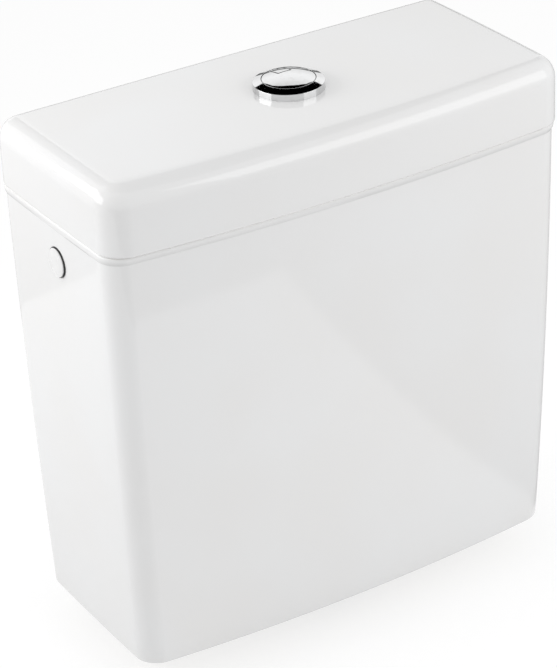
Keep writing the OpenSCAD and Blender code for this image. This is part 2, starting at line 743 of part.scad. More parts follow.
// Ring float round the tower, with a stem and a ledge over the half lever's tip
half_float_r = 44;
half_float_rise = 98;
half_float_z = foot_z + half_float_rise;
module half_float() {
    in_r = tower_r + slide_gap;
    float_h = 50;
    wall = 1.8;
    stem_y = half_arm + lever_bar / 2 + stirrup_room;
    color(blue_plastic) {
        translate([0, 0, half_float_z]) rotate_extrude() union() {
            translate([in_r, 0]) square([wall, float_h]);
            translate([half_float_r - wall, 0]) square([wall, float_h]);
            translate([in_r, float_h - wall]) square([half_float_r - in_r, wall]);
        }
        translate([0, -stem_y - stirrup_t, half_float_z + float_h - wall])
            cube([stirrup_x, stirrup_t, ledge_z + ledge_t - half_float_z - float_h + wall]);
        translate([0, -stem_y - stirrup_t, ledge_z])
            cube([stirrup_x, stem_y + stirrup_t - half_arm + ledge_grip, ledge_t]);
    }
}

// Fill valve: places along the inlet's axis, from the wall inwards
washer_t = 3;
washer_r = 15;
body_flange_t = 4;
body_flange_x = inlet_in_x - washer_t - body_flange_t;
barrel_r = 12;
pipe_x = inlet_in_x - pipe_in;
barrel_reach = 24;
barrel_end_x = pipe_x - barrel_reach;
inlet_bore_r = 5.6;
inlet_nut_h = 9;
relief_w = 1.5;
relief_x = inlet_out_x + inlet_nut_h + relief_w / 3;
relief_depth = 0.7;
spout_r = 10;
spout_bore_r = 6.5;
spout_drop = 34;
spout_z = inlet_z - spout_drop;
diaphragm_t = 1.6;
cap_r = 15;
cap_t = 4.5;
cap_x = barrel_end_x - diaphragm_t - cap_t;
arm_pin_r = 1.6;
arm_shift = 2;
arm_rise = 27;
arm_x = pipe_x + arm_shift;
arm_z = inlet_z + arm_rise;
arm_w = 7;
cheek_gap = 0.4;
arm_cheek_t = 3;
arm_cheek_r = 5;
arm_rest = -asin(float_travel / 2 / arm_l);
adjuster_x = arm_x - arm_l;
fork_z = arm_z - float_travel / 2;

module fill_body() {
    color(white_plastic) difference() {
        union() {
            on_inlet(barrel_end_x) cylinder(r = barrel_r, h = body_flange_x - barrel_end_x);
            on_inlet(body_flange_x) cylinder(r = washer_r, h = body_flange_t);
            on_inlet(body_flange_x) cylinder(r = inlet_r, h = inlet_out_x + inlet_tail - body_flange_x);
            translate([pipe_x, inlet_y, spout_z]) cylinder(r = spout_r, h = inlet_z - spout_z);
            for (s = [-1, 1]) translate([arm_x, inlet_y + s * (arm_w / 2 + cheek_gap + arm_cheek_t / 2), 0]) {
                translate([-arm_cheek_r, -arm_cheek_t / 2, inlet_z + barrel_r / 2])
                    cube([2 * arm_cheek_r, arm_cheek_t, arm_z - inlet_z - barrel_r / 2]);
                translate([0, arm_cheek_t / 2, arm_z]) rotate([90, 0, 0])
                    cylinder(r = arm_cheek_r, h = arm_cheek_t);
            }
        }
        on_inlet(barrel_end_x - over)
            cylinder(r = inlet_bore_r, h = inlet_out_x + inlet_tail - barrel_end_x + 2 * over);
        on_inlet(relief_x) difference() {
            cylinder(r = inlet_r + over, h = relief_w);
            translate([0, 0, -over]) cylinder(r = inlet_r - relief_depth, h = relief_w + 2 * over);
        }
        translate([pipe_x, inlet_y, spout_z - over]) cylinder(r = spout_bore_r, h = inlet_z - spout_z + over);
        translate([arm_x, inlet_y + arm_w, arm_z]) rotate([90, 0, 0])
            cylinder(r = arm_pin_r + fit_gap, h = 2 * arm_w);
    }
}

// Rubber washer between the fill valve's flange and the tank's wall
module inlet_washer() {
    color(rubber) on_inlet(inlet_in_x - washer_t) difference() {
        cylinder(r = washer_r, h = washer_t);
        translate([0, 0, -over]) cylinder(r = inlet_r + ring_gap / 2, h = washer_t + 2 * over);
    }
}

// Hexagon nut that clamps the fill valve from outside
module inlet_nut() {
    collar = 2;
    color(white_plastic) on_inlet(inlet_out_x) difference() {
        union() {
            cylinder(r = washer_r, h = inlet_nut_h, $fn = 6);
            cylinder(r = nut_spot_r - spot_room, h = collar);
        }
        translate([0, 0, -over]) cylinder(r = inlet_r + fit_gap, h = inlet_nut_h + 2 * over);
    }
}

// Strainer pushed into the water inlet
module inlet_filter() {
    length = 22;
    collar = 2;
    wall = 1;
    slits = 3;
    rows = 3;
    filter_r = inlet_bore_r - 1.2;
    color(grey_plastic) on_inlet(inlet_out_x + inlet_tail - length) difference() {
        union() {
            cylinder(r = filter_r, h = length);
            translate([0, 0, length - collar]) cylinder(r = inlet_bore_r - fit_gap, h = collar);
        }
        translate([0, 0, 1.5 * wall]) cylinder(r = filter_r - wall, h = length);
        for (i = [0:slits - 1], row = [0:rows - 1]) rotate(180 * i / slits)
            translate([0, 0, length / 4 + 2 * row * collar])
                cube([2 * inlet_bore_r, collar, collar], center = true);
    }
}

// Rubber disc that shuts the valve
module diaphragm() {
    color(rubber) on_inlet(barrel_end_x - diaphragm_t) cylinder(r = barrel_r - ring_gap, h = diaphragm_t);
}

// Screwed cap over the diaphragm, with grips round it
module fill_cap() {
    grips = 14;
    grip_r = 1.6;
    grip_depth = 1;
    plain_edge = 2;
    vent = [2, 6];
    skirt = 10;
    color(grey_plastic) on_inlet(cap_x) difference() {
        cylinder(r = cap_r, h = barrel_end_x - cap_x + skirt);
        translate([0, 0, barrel_end_x - cap_x - diaphragm_t])
            cylinder(r = barrel_r + fit_gap, h = skirt + diaphragm_t + over);
        translate([0, 0, -over]) cylinder(r = vent.x, h = vent.y + over);
        for (i = [0:grips - 1]) rotate(360 * i / grips) translate([cap_r + grip_r - grip_depth, 0, -over])
            cylinder(r = grip_r, h = barrel_end_x - cap_x + skirt - plain_edge + over);
    }
}

// Pin through the fill valve's cheeks that the float arm turns on
module arm_pin() {
    tips = 2;
    length = arm_w + 2 * (cheek_gap + arm_cheek_t) + tips;
    color(steel) translate([arm_x, inlet_y + length / 2, arm_z]) rotate([90, 0, 0])
        cylinder(r = arm_pin_r, h = length);
}

// Arm from its pivot to a fork round the adjusting rod, drawn at the angle where the float is down
fork_half = 2;
collar_r = 4.5;
collar_room = 3.6;
module float_arm() {
    prong = 3;
    eye_r = 4.5;
    fork_l = 17;
    fork_tip = 7;
    slot_l = 13;
    slot = adjuster_r + 2 * slide_gap;
    color(blue_plastic) translate([arm_x, inlet_y, arm_z]) rotate([0, arm_rest, 0]) difference() {
        union() {
            rotate([90, 0, 0]) translate([0, 0, -arm_w / 2]) cylinder(r = eye_r, h = arm_w);
            translate([-arm_l + fork_tip, -arm_w / 2, -fork_half])
                cube([arm_l - fork_tip, arm_w, 2 * fork_half]);
            translate([-arm_l - fork_tip, -slot - prong, -fork_half])
                cube([fork_l, 2 * (slot + prong), 2 * fork_half]);
        }
        translate([0, arm_w, 0]) rotate([90, 0, 0]) cylinder(r = arm_pin_r + pin_gap, h = 2 * arm_w);
        translate([-arm_l - fork_tip - over, -slot, -fork_half - over])
            cube([slot_l, 2 * slot, 2 * (fork_half + over)]);
    }
}

// Threaded rod on the float's ear, with a collar above and below the arm's fork
float_room = 4;
float_z = spout_z - float_travel - float_room - fill_float_h;
float_wall = 2;
ear_t = 6;
ear_half = 6;
ear_z = float_z + fill_float_h - ear_t;
module adjusting_rod() {
    collar_h = 3;
    tip = 2;
    lock_h = 2.5;
    color(steel) translate([adjuster_x, inlet_y, 0]) {
        translate([0, 0, ear_z - ear_t])
            cylinder(r = adjuster_r, h = fork_z + collar_room + collar_h + tip - ear_z + ear_t);
        translate([0, 0, fork_z + collar_room]) cylinder(r = collar_r, h = collar_h);
        translate([0, 0, fork_z - collar_room - collar_h]) cylinder(r = collar_r, h = collar_h);
        translate([0, 0, ear_z + ear_t]) cylinder(r = collar_r, h = lock_h, $fn = 6);
    }
}

// Float cup that slides on the discharge pipe, with an ear for the adjusting rod
module fill_float() {
    in_r = pipe_r + slide_gap;
    color(grey_plastic) difference() {
        union() {
            translate([pipe_x, inlet_y, float_z]) rotate_extrude() union() {
                translate([in_r, 0]) square([float_wall, fill_float_h]);
                translate([fill_float_r - float_wall, 0]) square([float_wall, fill_float_h]);
                translate([in_r, fill_float_h - float_wall]) square([fill_float_r - in_r, float_wall]);
            }
            translate([adjuster_x - ear_half, inlet_y - ear_half, ear_z])
                cube([pipe_x - fill_float_r + float_wall - adjuster_x + ear_half, 2 * ear_half, ear_t]);
        }
        translate([adjuster_x, inlet_y, ear_z - over])
            cylinder(r = adjuster_r + fit_gap, h = ear_t + 2 * over);
    }
}

// Pipe that carries the water down to the tank's floor and guides the float
module discharge_pipe() {
    low = floor_t + 22;
    spigot = 8;
    spigot_t = 2;
    pipe_bore_r = spout_bore_r - spigot_t;
    jet_rise = 8;
    jet_r = 2.5;
    color(white_plastic) translate([pipe_x, inlet_y, 0]) difference() {
        union() {
            translate([0, 0, low]) cylinder(r = pipe_r, h = spout_z - low);
            translate([0, 0, spout_z - spigot]) cylinder(r = spout_bore_r - fit_gap, h = 2 * spigot);
        }
        translate([0, 0, low - over]) cylinder(r = pipe_bore_r, h = spout_z + spigot - low + 2 * over);
        for (turn = [0, 90]) rotate(turn) translate([-pipe_r - over, 0, low + jet_rise]) rotate([0, 90, 0])
            cylinder(r = jet_r, h = 2 * (pipe_r + over));
    }
}

// Domed plug in the unused inlet of the left wall
plug_room = 0.5;
plug_shank_t = 2.5;
plug_tip = 2;
plug_shank_r = inlet_hole_r - plug_room;
plug_bore_r = plug_shank_r - plug_shank_t;
plug_edge = 0.8;
cap_washer_t = 1.6;
plug_sphere_r = (plug_r * plug_r + plug_rise * plug_rise) / (2 * plug_rise);
plug_nut_h = 7;
plug_shank = inlet_out_x - inlet_in_x + plug_nut_h + plug_tip;
module side_cap() {
    color(glaze) mirror([1, 0, 0]) on_inlet(inlet_out_x) difference() {
        union() {
            translate([0, 0, cap_washer_t]) cylinder(r = plug_r, h = plug_edge);
            translate([0, 0, cap_washer_t]) intersection() {
                cylinder(r = plug_r, h = plug_edge + plug_rise + over);
                translate([0, 0, plug_edge + plug_rise - plug_sphere_r]) sphere(r = plug_sphere_r);
            }
            translate([0, 0, -plug_shank])
                cylinder(r = plug_shank_r, h = plug_shank + cap_washer_t + plug_edge);
        }
        translate([0, 0, -plug_shank - over]) cylinder(r = plug_bore_r, h = plug_shank + over);
    }
}

// Rubber washer between the plug's head and the tank's wall
module cap_washer() {
    color(rubber) mirror([1, 0, 0]) on_inlet(inlet_out_x) difference() {
        cylinder(r = cap_washer_r, h = cap_washer_t);
        translate([0, 0, -over]) cylinder(r = plug_shank_r + ring_gap / 2, h = cap_washer_t + 2 * over);
    }
}

// Hexagon nut that holds the plug from inside
module side_cap_nut() {
    color(white_plastic) mirror([1, 0, 0]) on_inlet(inlet_in_x - plug_nut_h) difference() {
        union() {
            cylinder(r = washer_r - plug_edge, h = plug_nut_h, $fn = 6);
            translate([0, 0, plug_nut_h - plug_tip]) cylinder(r = washer_r, h = plug_tip);
        }
        translate([0, 0, -over]) cylinder(r = plug_shank_r + fit_gap, h = plug_nut_h + 2 * over);
    }
}

tank();
lid();
button_bezel();
bezel_nut();
button_guide();
full_button();
half_key();
full_push_rod();
half_push_rod();
full_return_spring();
half_return_spring();
flush_base();
base_seal();
tail_nut();
coupling_gasket();
valve_tower();
lever_pin();
full_lever();
half_lever();
overflow_tube();
valve_seal();
full_float();
half_float();
fill_body();
inlet_washer();
inlet_nut();
inlet_filter();
diaphragm();
fill_cap();
arm_pin();
float_arm();
adjusting_rod();
fill_float();
discharge_pipe();
side_cap();
cap_washer();
side_cap_nut();
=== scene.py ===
import math

import bmesh
import bpy
from mathutils import Matrix, Vector


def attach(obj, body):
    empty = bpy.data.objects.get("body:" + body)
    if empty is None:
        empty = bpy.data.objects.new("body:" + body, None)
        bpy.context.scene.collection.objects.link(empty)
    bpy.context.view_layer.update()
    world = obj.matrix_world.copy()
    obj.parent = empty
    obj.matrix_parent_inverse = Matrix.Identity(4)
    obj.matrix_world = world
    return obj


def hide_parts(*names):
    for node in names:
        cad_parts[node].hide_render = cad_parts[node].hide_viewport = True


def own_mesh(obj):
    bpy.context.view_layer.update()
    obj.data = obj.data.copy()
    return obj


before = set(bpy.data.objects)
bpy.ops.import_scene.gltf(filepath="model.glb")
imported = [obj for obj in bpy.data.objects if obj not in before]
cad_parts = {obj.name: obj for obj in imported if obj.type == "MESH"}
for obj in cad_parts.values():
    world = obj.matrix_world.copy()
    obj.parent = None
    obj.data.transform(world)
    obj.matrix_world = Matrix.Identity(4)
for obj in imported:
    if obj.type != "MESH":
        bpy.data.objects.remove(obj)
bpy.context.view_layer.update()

MM = 0.001

# Sizes in millimetres, as in the part's source apart from the threads and seat_slack
lid_w, lid_d, lid_h = 380, 167, 51
front_bow, side_bow, lid_crown = 10, 0.8, 2.5
lid_front_r, lid_rear_r, lid_edge_r, lid_foot_r = 19, 15, 17, 2
lid_top_t, lip_t, lip_h, lip_gap, lip_round = 12, 9, 8, 2.5, 1.5
lid_fillet, cavity_r = 8, 8
tank_h, wall_t, floor_t = 341, 11, 14
rim_side_in, rim_front_in, back_in = 1.5, 4, 3
side_taper, front_taper, swell = 8.3, 9, 1.4
tank_front_r, tank_rear_r, inner_r = 16, 12, 8
bead_h, bead_out, bead_r, rim_edge_r, foot_r = 6.5, 1, 2, 1.5, 2.5
axis_ahead, outlet_hole_r, bolt_spacing, bolt_hole_r = 11, 32, 155, 6
flange_r, floor_margin = 43, 2
inlet_y, inlet_drop, inlet_hole_r, spot_depth = 9, 31.5, 9, 0.6
plug_r, plug_rise, plug_edge, plug_shank_r, plug_bore_r = 10.7, 1.6, 0.8, 8.5, 6
plug_spot_r, nut_spot_r, cap_washer_t = 11.5, 16.5, 1.6
bezel_r, bezel_wall_h, bezel_rise, seat_room, seat_slack = 26, 5.3, 2.4, 0.6, 0.05
button_r, dome_rise, sleeve_in_r, sleeve_out_r, lid_hole_r = 19.4, 3.6, 19.8, 21.2, 21.5
key_w, key_y, key_gap, key_corner_r = 10.6, 10.5, 0.3, 1.2
skirt_h, skirt_t, dome_t, sleeve_foot_z = 9.2, 1.6, 1.8, 370
rod_x, rod_y, spring_r, wire_d = 3, 13, 3.75, 0.8
tail_r, flush_bore_r, tail_drop, flange_z, foot_z, seat_rise, seat_t = 29.8, 25, 26, 18, 22, 6, 3
tail_thread_d, tail_pitch, plug_thread_d, plug_pitch = 1.3, 3.2, 0.9, 2.0
inlet_r, inlet_thread_d, inlet_pitch, thread_x, inlet_end_x = 8.33, 0.8, 1.34, 199.4, 213.466
seat_sink, button_sink, spring_end_gap, back_stock = 0.1, 0.3, 0.1, 0.5
gasket_in_r, gasket_foot_r, gasket_out_r, gasket_seat_r = 30, 38, 42, 37.8
gasket_low, gasket_slope_z, gasket_seat_z, gasket_high = -20, -15, -10.3, -1

# Levels and places that follow from them
rim_z = tank_h
bead_z = rim_z - bead_h
lid_top = rim_z + lid_h
ceiling_z = lid_top - lid_top_t
lid_back = lid_d / 2 + axis_ahead
lid_front = lid_back - lid_d
inlet_z = rim_z - inlet_drop


def crown_share(x, y):
    """Share of the lid's crown at a place, which falls away to all edges."""
    return (1 - (2 * x / lid_w) ** 2) * max(0, 1 - ((y - axis_ahead) / (lid_d / 2)) ** 2)


def wall_inset(z):
    """How far the tank's wall lies inside the lid's outline at a height: side, front and back."""
    s = max(0, (bead_z - z) / bead_z)
    out = swell * 4 * s * (1 - s)
    return rim_side_in + side_taper * s - out, rim_front_in + front_taper * s - out, back_in


seat_z = lid_top + lid_crown * crown_share(0, -bezel_r - seat_room) - seat_sink
bezel_top = seat_z + bezel_wall_h
button_edge_z = bezel_top + bezel_rise - button_sink
boss_z = button_edge_z - skirt_h
dome_sphere_r = (button_r ** 2 + dome_rise ** 2) / (2 * dome_rise)
dome_centre_z = button_edge_z + dome_rise - dome_sphere_r
floor_fillet = -(lid_front + wall_inset(floor_t)[1] + wall_t - front_bow) - flange_r - floor_margin
side_mid = (lid_back - back_in + lid_front + wall_inset(inlet_z)[1]) / 2
side_share = 1 - ((inlet_y - side_mid) / (lid_back - back_in - side_mid)) ** 2
inlet_out_x = lid_w / 2 - wall_inset(inlet_z)[0] + side_bow * side_share - spot_depth
inlet_in_x = inlet_out_x - wall_t + 2 * spot_depth
spring_low, spring_high = 373.1, boss_z - spring_end_gap


class Wire:
    """One output of a node. Arithmetic on wires adds Math nodes to their tree."""

    def __init__(self, tree, socket):
        self.tree = tree
        self.socket = socket

    def node(self, kind, settings=None, sockets=None, out=0):
        """Adds a node: its settings are set first, then its sockets get values, wires or lists of wires."""
        made = self.tree.nodes.new(kind)
        for name, value in (settings or {}).items():
            setattr(made, name, value)
        for key, value in (sockets or {}).items():
            for one in value if isinstance(value, list) else [value]:
                if isinstance(one, Wire):
                    self.tree.links.new(one.socket, made.inputs[key])
                else:
                    made.inputs[key].default_value = one
        return Wire(self.tree, made.outputs[out])

    def other(self, out):
        """Another output of the same node."""
        return Wire(self.tree, self.socket.node.outputs[out])

    def math(self, operation, *values):
        return self.node("ShaderNodeMath", {"operation": operation}, dict(enumerate(values)))

    def __add__(self, value):
        return self.math("ADD", self, value)

    def __radd__(self, value):
        return self.math("ADD", value, self)

    def __sub__(self, value):
        return self.math("SUBTRACT", self, value)

    def __rsub__(self, value):
        return self.math("SUBTRACT", value, self)

    def __mul__(self, value):
        return self.math("MULTIPLY", self, value)

    def __rmul__(self, value):
        return self.math("MULTIPLY", value, self)

    def __truediv__(self, value):
        return self.math("DIVIDE", self, value)

    def __neg__(self):
        return self.math("MULTIPLY", self, -1)

    def ramp(self, low, high):
        """0 below low, 1 above high and a smooth rise between."""
        settings = {"interpolation_type": "SMOOTHSTEP"}
        return self.node("ShaderNodeMapRange", settings, {"Value": self, "From Min": low, "From Max": high})

    def mix(self, first, second):
        """Colour that goes from first to second as this wire goes from 0 to 1."""
        return self.node("ShaderNodeMix", {"data_type": "RGBA"}, {0: self, 6: first, 7: second}, out=2)


# Materials


class Paint:
    """A material in the making: its Principled shader and wires to build with."""

    def __init__(self, name, **constants):
        self.material = bpy.data.materials.new(name)
        self.material.use_nodes = True
        self.tree = self.material.node_tree
        self.shader = self.tree.nodes["Principled BSDF"]
        for key, value in constants.items():
            self.shader.inputs[key.replace("_", " ")].default_value = value
        coordinates = self.tree.nodes.new("ShaderNodeTexCoord")
        self.place = Wire(self.tree, coordinates.outputs["Object"])

    def height(self):
        return self.place.node("ShaderNodeSeparateXYZ", {}, {0: self.place}).other(2)

    def noise(self, scale, detail=2.0, stretch=None, distortion=0.0):
        """Noise from 0 to 1, with scale in waves per metre."""
        place = self.place
        if stretch:
            place = place.node("ShaderNodeMapping", {}, {"Vector": place, "Scale": stretch})
        sockets = {"Vector": place, "Scale": scale, "Detail": detail, "Distortion": distortion}
        return place.node("ShaderNodeTexNoise", {}, sockets, out="Fac")

    def cells(self, scale):
        """Distance to the nearest of scattered points, in cells."""
        sockets = {"Vector": self.place, "Scale": scale, "Randomness": 1.0}
        return self.place.node("ShaderNodeTexVoronoi", {}, sockets, out="Distance")

    def bump(self, height, depth, strength=1.0, under=None):
        sockets = {"Height": height, "Distance": depth, "Strength": strength}
        if under:
            sockets["Normal"] = under
        return self.place.node("ShaderNodeBump", {}, sockets)

    def link(self, **wires):
        for key, wire in wires.items():
            self.tree.links.new(wire.socket, self.shader.inputs[key.replace("_", " ")])
        return self.material


def grey(value, warmth=0.0):
    return (value * (1 + warmth), value, value * (1 - warmth), 1)


def glaze(name, bare_below, crease_shade=None):
    """White vitreous glaze, with bare biscuit below a level; painted shade greys it above a crease."""
    paint = Paint(name, IOR=1.52)
    z = paint.height()
    slow = paint.noise(11, 1.0)
    peel = paint.noise(150, 1.5)
    grain = paint.noise(2600, 3.0)
    edge = paint.noise(420, 2.0) * (0.5 * MM)
    bare = 1 - (z + edge).ramp((bare_below + 0.2) * MM, (bare_below + 0.7) * MM)
    speck = 1 - paint.cells(46).ramp(0.008, 0.016)
    white = slow.ramp(0.3, 0.7).mix(grey(0.86, 0.004), grey(0.875, -0.003))
    spotted = (speck * 0.25).mix(white, grey(0.56, 0.03))
    if crease_shade:
        crease, top = crease_shade
        # Painted shade: grey just above the crease under the rim's bead, fading out upwards.
        painted_crease_shade = z.ramp((crease - 0.2) * MM, (crease + 0.1) * MM) * (1 - z.ramp(crease * MM, top * MM))
        spotted = painted_crease_shade.mix(spotted, grey(0.77))
    biscuit = grain.mix((0.70, 0.66, 0.59, 1), (0.78, 0.75, 0.70, 1))
    colour = bare.mix(spotted, biscuit)
    roughness = 0.025 + slow * 0.02 + bare * 0.64
    waves = paint.bump(paint.noise(24, 1.0), 0.00015, 0.35)
    skin = paint.bump(peel, 0.00003, 0.35, waves)
    normal = paint.bump(grain * bare, 0.00012, 0.6, skin)
    return paint.link(Base_Color=colour, Roughness=roughness, Normal=normal)


def chrome(name, face=None):
    """Bright plating with faint water marks; below a domed face it ends at bare plastic, painted near-black
    as shade in the gap.
    """
    paint = Paint(name, Metallic=1.0)
    marks = paint.noise(240, 3.0).ramp(0.45, 0.75)
    wiped = paint.noise(700, 2.0, (1.0, 0.12, 1.0))
    colour = marks.mix(grey(0.75, -0.006), grey(0.70))
    roughness = 0.03 + marks * 0.03 + wiped * 0.02
    normal = paint.bump(wiped, 0.000004, 0.25)
    if face:
        centre, radius = face
        settings = {"operation": "DISTANCE"}
        away = paint.place.node("ShaderNodeVectorMath", settings, {0: paint.place, 1: centre}, out="Value")
        # Painted shade: near-black in the gap below the domed face, where the plating gives way to bare
        # plastic.
        bare = (radius - away).ramp(0.05 * MM, 0.1 * MM)
        colour = bare.mix(colour, grey(0.02))
        roughness = roughness + bare * 0.35
        paint.link(Metallic=1 - bare)
    return paint.link(Base_Color=colour, Roughness=roughness, Normal=normal)


def plastic(name, tone, second, rough, depth=0.00002):
    """Moulded plastic: faint flow streaks, a fine spark-eroded grain and scuffed patches."""
    paint = Paint(name, IOR=1.49)
    flow = paint.noise(38, 3.0, (1.0, 1.0, 0.35), 1.2)
    grain = paint.noise(2100, 2.0)
    scuff = paint.noise(170, 4.0).ramp(0.56, 0.72)
    colour = flow.ramp(0.25, 0.75).mix(tone, second)
    roughness = rough + flow * 0.06 + scuff * 0.12
    normal = paint.bump(grain, depth, 0.6)
    return paint.link(Base_Color=colour, Roughness=roughness, Normal=normal)


def rubber(name):
    """Black moulded rubber with a pale bloom in patches."""
    paint = Paint(name, IOR=1.5)
    bloom = paint.noise(90, 4.0).ramp(0.48, 0.8)
    grain = paint.noise(1500, 3.0)
    colour = (bloom * 0.6).mix((0.022, 0.022, 0.024, 1), (0.09, 0.088, 0.084, 1))
    roughness = 0.52 + bloom * 0.25
    return paint.link(Base_Color=colour, Roughness=roughness, Normal=paint.bump(grain, 0.00006, 0.7))


def foam(name):
    """Closed-cell foam rubber: a skin of fine burst cells."""
    paint = Paint(name, IOR=1.45)
    pits = paint.cells(620)
    fine = paint.cells(1700)
    shade = paint.noise(60, 3.0)
    open_cells = pits.ramp(0.18, 0.5)
    # Painted shade: the pits of the burst cells are darker, where their bump also sinks.
    colour = open_cells.mix((0.018, 0.02, 0.022, 1), (0.075, 0.08, 0.085, 1))
    roughness = 0.78 + shade * 0.18
    coarse = paint.bump(open_cells, 0.0004, 0.8)
    return paint.link(Base_Color=colour, Roughness=roughness, Normal=paint.bump(fine, 0.00015, 0.6, coarse))


def steel(name, along):
    """Drawn stainless steel, with fine lines along its length."""
    paint = Paint(name, Metallic=1.0)
    lines = paint.noise(1800, 2.0, along)
    stain = paint.noise(130, 3.0).ramp(0.5, 0.8)
    colour = stain.mix((0.60, 0.59, 0.57, 1), (0.47, 0.45, 0.42, 1))
    roughness = 0.2 + lines * 0.16 + stain * 0.12
    return paint.link(Base_Color=colour, Roughness=roughness, Normal=paint.bump(lines, 0.00001, 0.5))


# The tank's glaze carries painted shade above the crease under the rim's bead.
tank_glaze = glaze("tank_glaze", 0.0, (bead_z, bead_z + 5))
lid_glaze = glaze("lid_glaze", rim_z)
bright_chrome = chrome("bright_chrome")
# The dome's chrome has painted shade in the gaps round its domed face.
dome_chrome = chrome("dome_chrome", ((0, 0, dome_centre_z * MM), dome_sphere_r * MM))
cap_plastic = plastic("cap_plastic", grey(0.82, 0.004), grey(0.86), 0.16, 0.000006)
white_plastic = plastic("white_plastic", (0.78, 0.78, 0.76, 1), (0.83, 0.83, 0.81, 1), 0.3)
grey_plastic = plastic("grey_plastic", (0.36, 0.40, 0.45, 1), (0.43, 0.47, 0.52, 1), 0.34)
blue_plastic = plastic("blue_plastic", (0.035, 0.13, 0.33, 1), (0.05, 0.17, 0.40, 1), 0.3)
black_rubber = rubber("black_rubber")
black_foam = foam("black_foam")
drawn_steel = steel("drawn_steel", (1.0, 1.0, 0.03))
cross_steel = steel("cross_steel", (0.03, 0.03, 1.0))


# Making pieces


def new_object(name, mesh):
    made = bpy.data.objects.new(name, mesh)
    bpy.context.scene.collection.objects.link(made)
    return made


def mesh_from(name, points, faces):
    """Mesh from points in millimetres."""
    mesh = bpy.data.meshes.new(name)
    mesh.from_pydata([Vector(p) * MM for p in points], [], faces)
    mesh.update()
    return mesh


def tidy(mesh, angle=32):
    """Merges doubles, turns faces outwards and smooths all but the sharp edges."""
    work = bmesh.new()
    work.from_mesh(mesh)
    bmesh.ops.remove_doubles(work, verts=work.verts, dist=0.000001)
    bmesh.ops.recalc_face_normals(work, faces=work.faces)
    work.to_mesh(mesh)
    work.free()
    mesh.shade_smooth()
    mesh.set_sharp_from_angle(angle=math.radians(angle))


def settle(made):
    """Turns an object's modifiers into a plain mesh of its own."""
    graph = bpy.context.evaluated_depsgraph_get()
    mesh = bpy.data.meshes.new_from_object(made.evaluated_get(graph), depsgraph=graph)
    made.modifiers.clear()
    made.data = mesh
    return mesh


def dress(made, material, slot, body, *nodes):
    """Gives a finished piece its material and body, and hides the nodes that it stands for; its slot
    argument is not used.
    """
    made.data.materials.clear()
    made.data.materials.append(material)
    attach(made, body)
    if nodes:
        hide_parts(*nodes)
    return made


def soften(points, radii, steps=5):
    """Rounds the corners of a closed outline, one radius each, and holds the flats beside them."""
    count = len(points)
    out = []
    for i, corner in enumerate(points):
        here = Vector(corner)
        before = Vector(points[i - 1]) - here
        after = Vector(points[(i + 1) % count]) - here
        if radii[i] <= 0:
            out.append(tuple(here))
            continue
        half = before.angle(after) / 2
        reach = min(radii[i] / math.tan(half), before.length / 2.1, after.length / 2.1)
        radius = reach * math.tan(half)
        centre = here + (before.normalized() + after.normalized()).normalized() * radius / math.sin(half)
        hold = min(0.4 * reach, (min(before.length, after.length) / 2 - reach) * 0.9)
        start = here + before.normalized() * reach - centre
        end = here + after.normalized() * reach - centre
        out.append(tuple(here + before.normalized() * (reach + hold)))
        for k in range(steps + 1):
            out.append(tuple(centre + start.slerp(end, k / steps) * radius))
        out.append(tuple(here + after.normalized() * (reach + hold)))
    return out


def lathe(outline, segments, closed=True):
    """Points and faces of an outline of (radius, height) turned round +Z."""
    points, faces = [], []
    rows = len(outline)
    for s in range(segments):
        q = 2 * math.pi * s / segments
        points += [(r * math.cos(q), r * math.sin(q), z) for r, z in outline]
    for s in range(segments):
        t = (s + 1) % segments
        for i in range(rows if closed else rows - 1):
            k = (i + 1) % rows
            faces.append((s * rows + i, t * rows + i, t * rows + k, s * rows + k))
    return points, faces


def turned(name, outline, segments):
    """Object of a closed outline turned round +Z."""
    made = new_object(name, mesh_from(name, *lathe(outline, segments)))
    tidy(made.data)
    return made


def along_x(x, sign=1):
    """Turns a shape that points along +Z so that it points outwards on the inlet's axis from x."""
    place = Matrix.Translation(Vector((sign * x, inlet_y, inlet_z)) * MM)
    return place @ Matrix.Rotation(sign * math.pi / 2, 4, "Y")


def new_tree(name, inputs):
    """Geometry node tree with named inputs, and a wire from its first input."""
    tree = bpy.data.node_groups.new(name, "GeometryNodeTree")
    for label, kind in inputs:
        tree.interface.new_socket(label, in_out="INPUT", socket_type="NodeSocket" + kind)
    tree.interface.new_socket("Geometry", in_out="OUTPUT", socket_type="NodeSocketGeometry")
    given = tree.nodes.new("NodeGroupInput")
    return tree, Wire(tree, given.outputs[0])


def end_tree(wire, material):
    """Realizes, paints and hands out what a tree has made."""
    real = wire.node("GeometryNodeRealizeInstances", {}, {0: wire})
    painted = wire.node("GeometryNodeSetMaterial", {}, {"Geometry": real, "Material": material})
    out = wire.tree.nodes.new("NodeGroupOutput")
    wire.tree.links.new(painted.socket, out.inputs[0])


def grow(made, tree, values):
    """Runs a tree on an object with its inputs set, and keeps the result as a plain mesh."""
    modifier = made.modifiers.new(tree.name, "NODES")
    modifier.node_group = tree
    for item in tree.interface.items_tree:
        if item.in_out == "INPUT" and item.name in values:
            modifier[item.identifier] = values[item.name]
    made.update_tag()
    return settle(made)


# Ceramic shells: a wall swept round a plan that bows and tapers


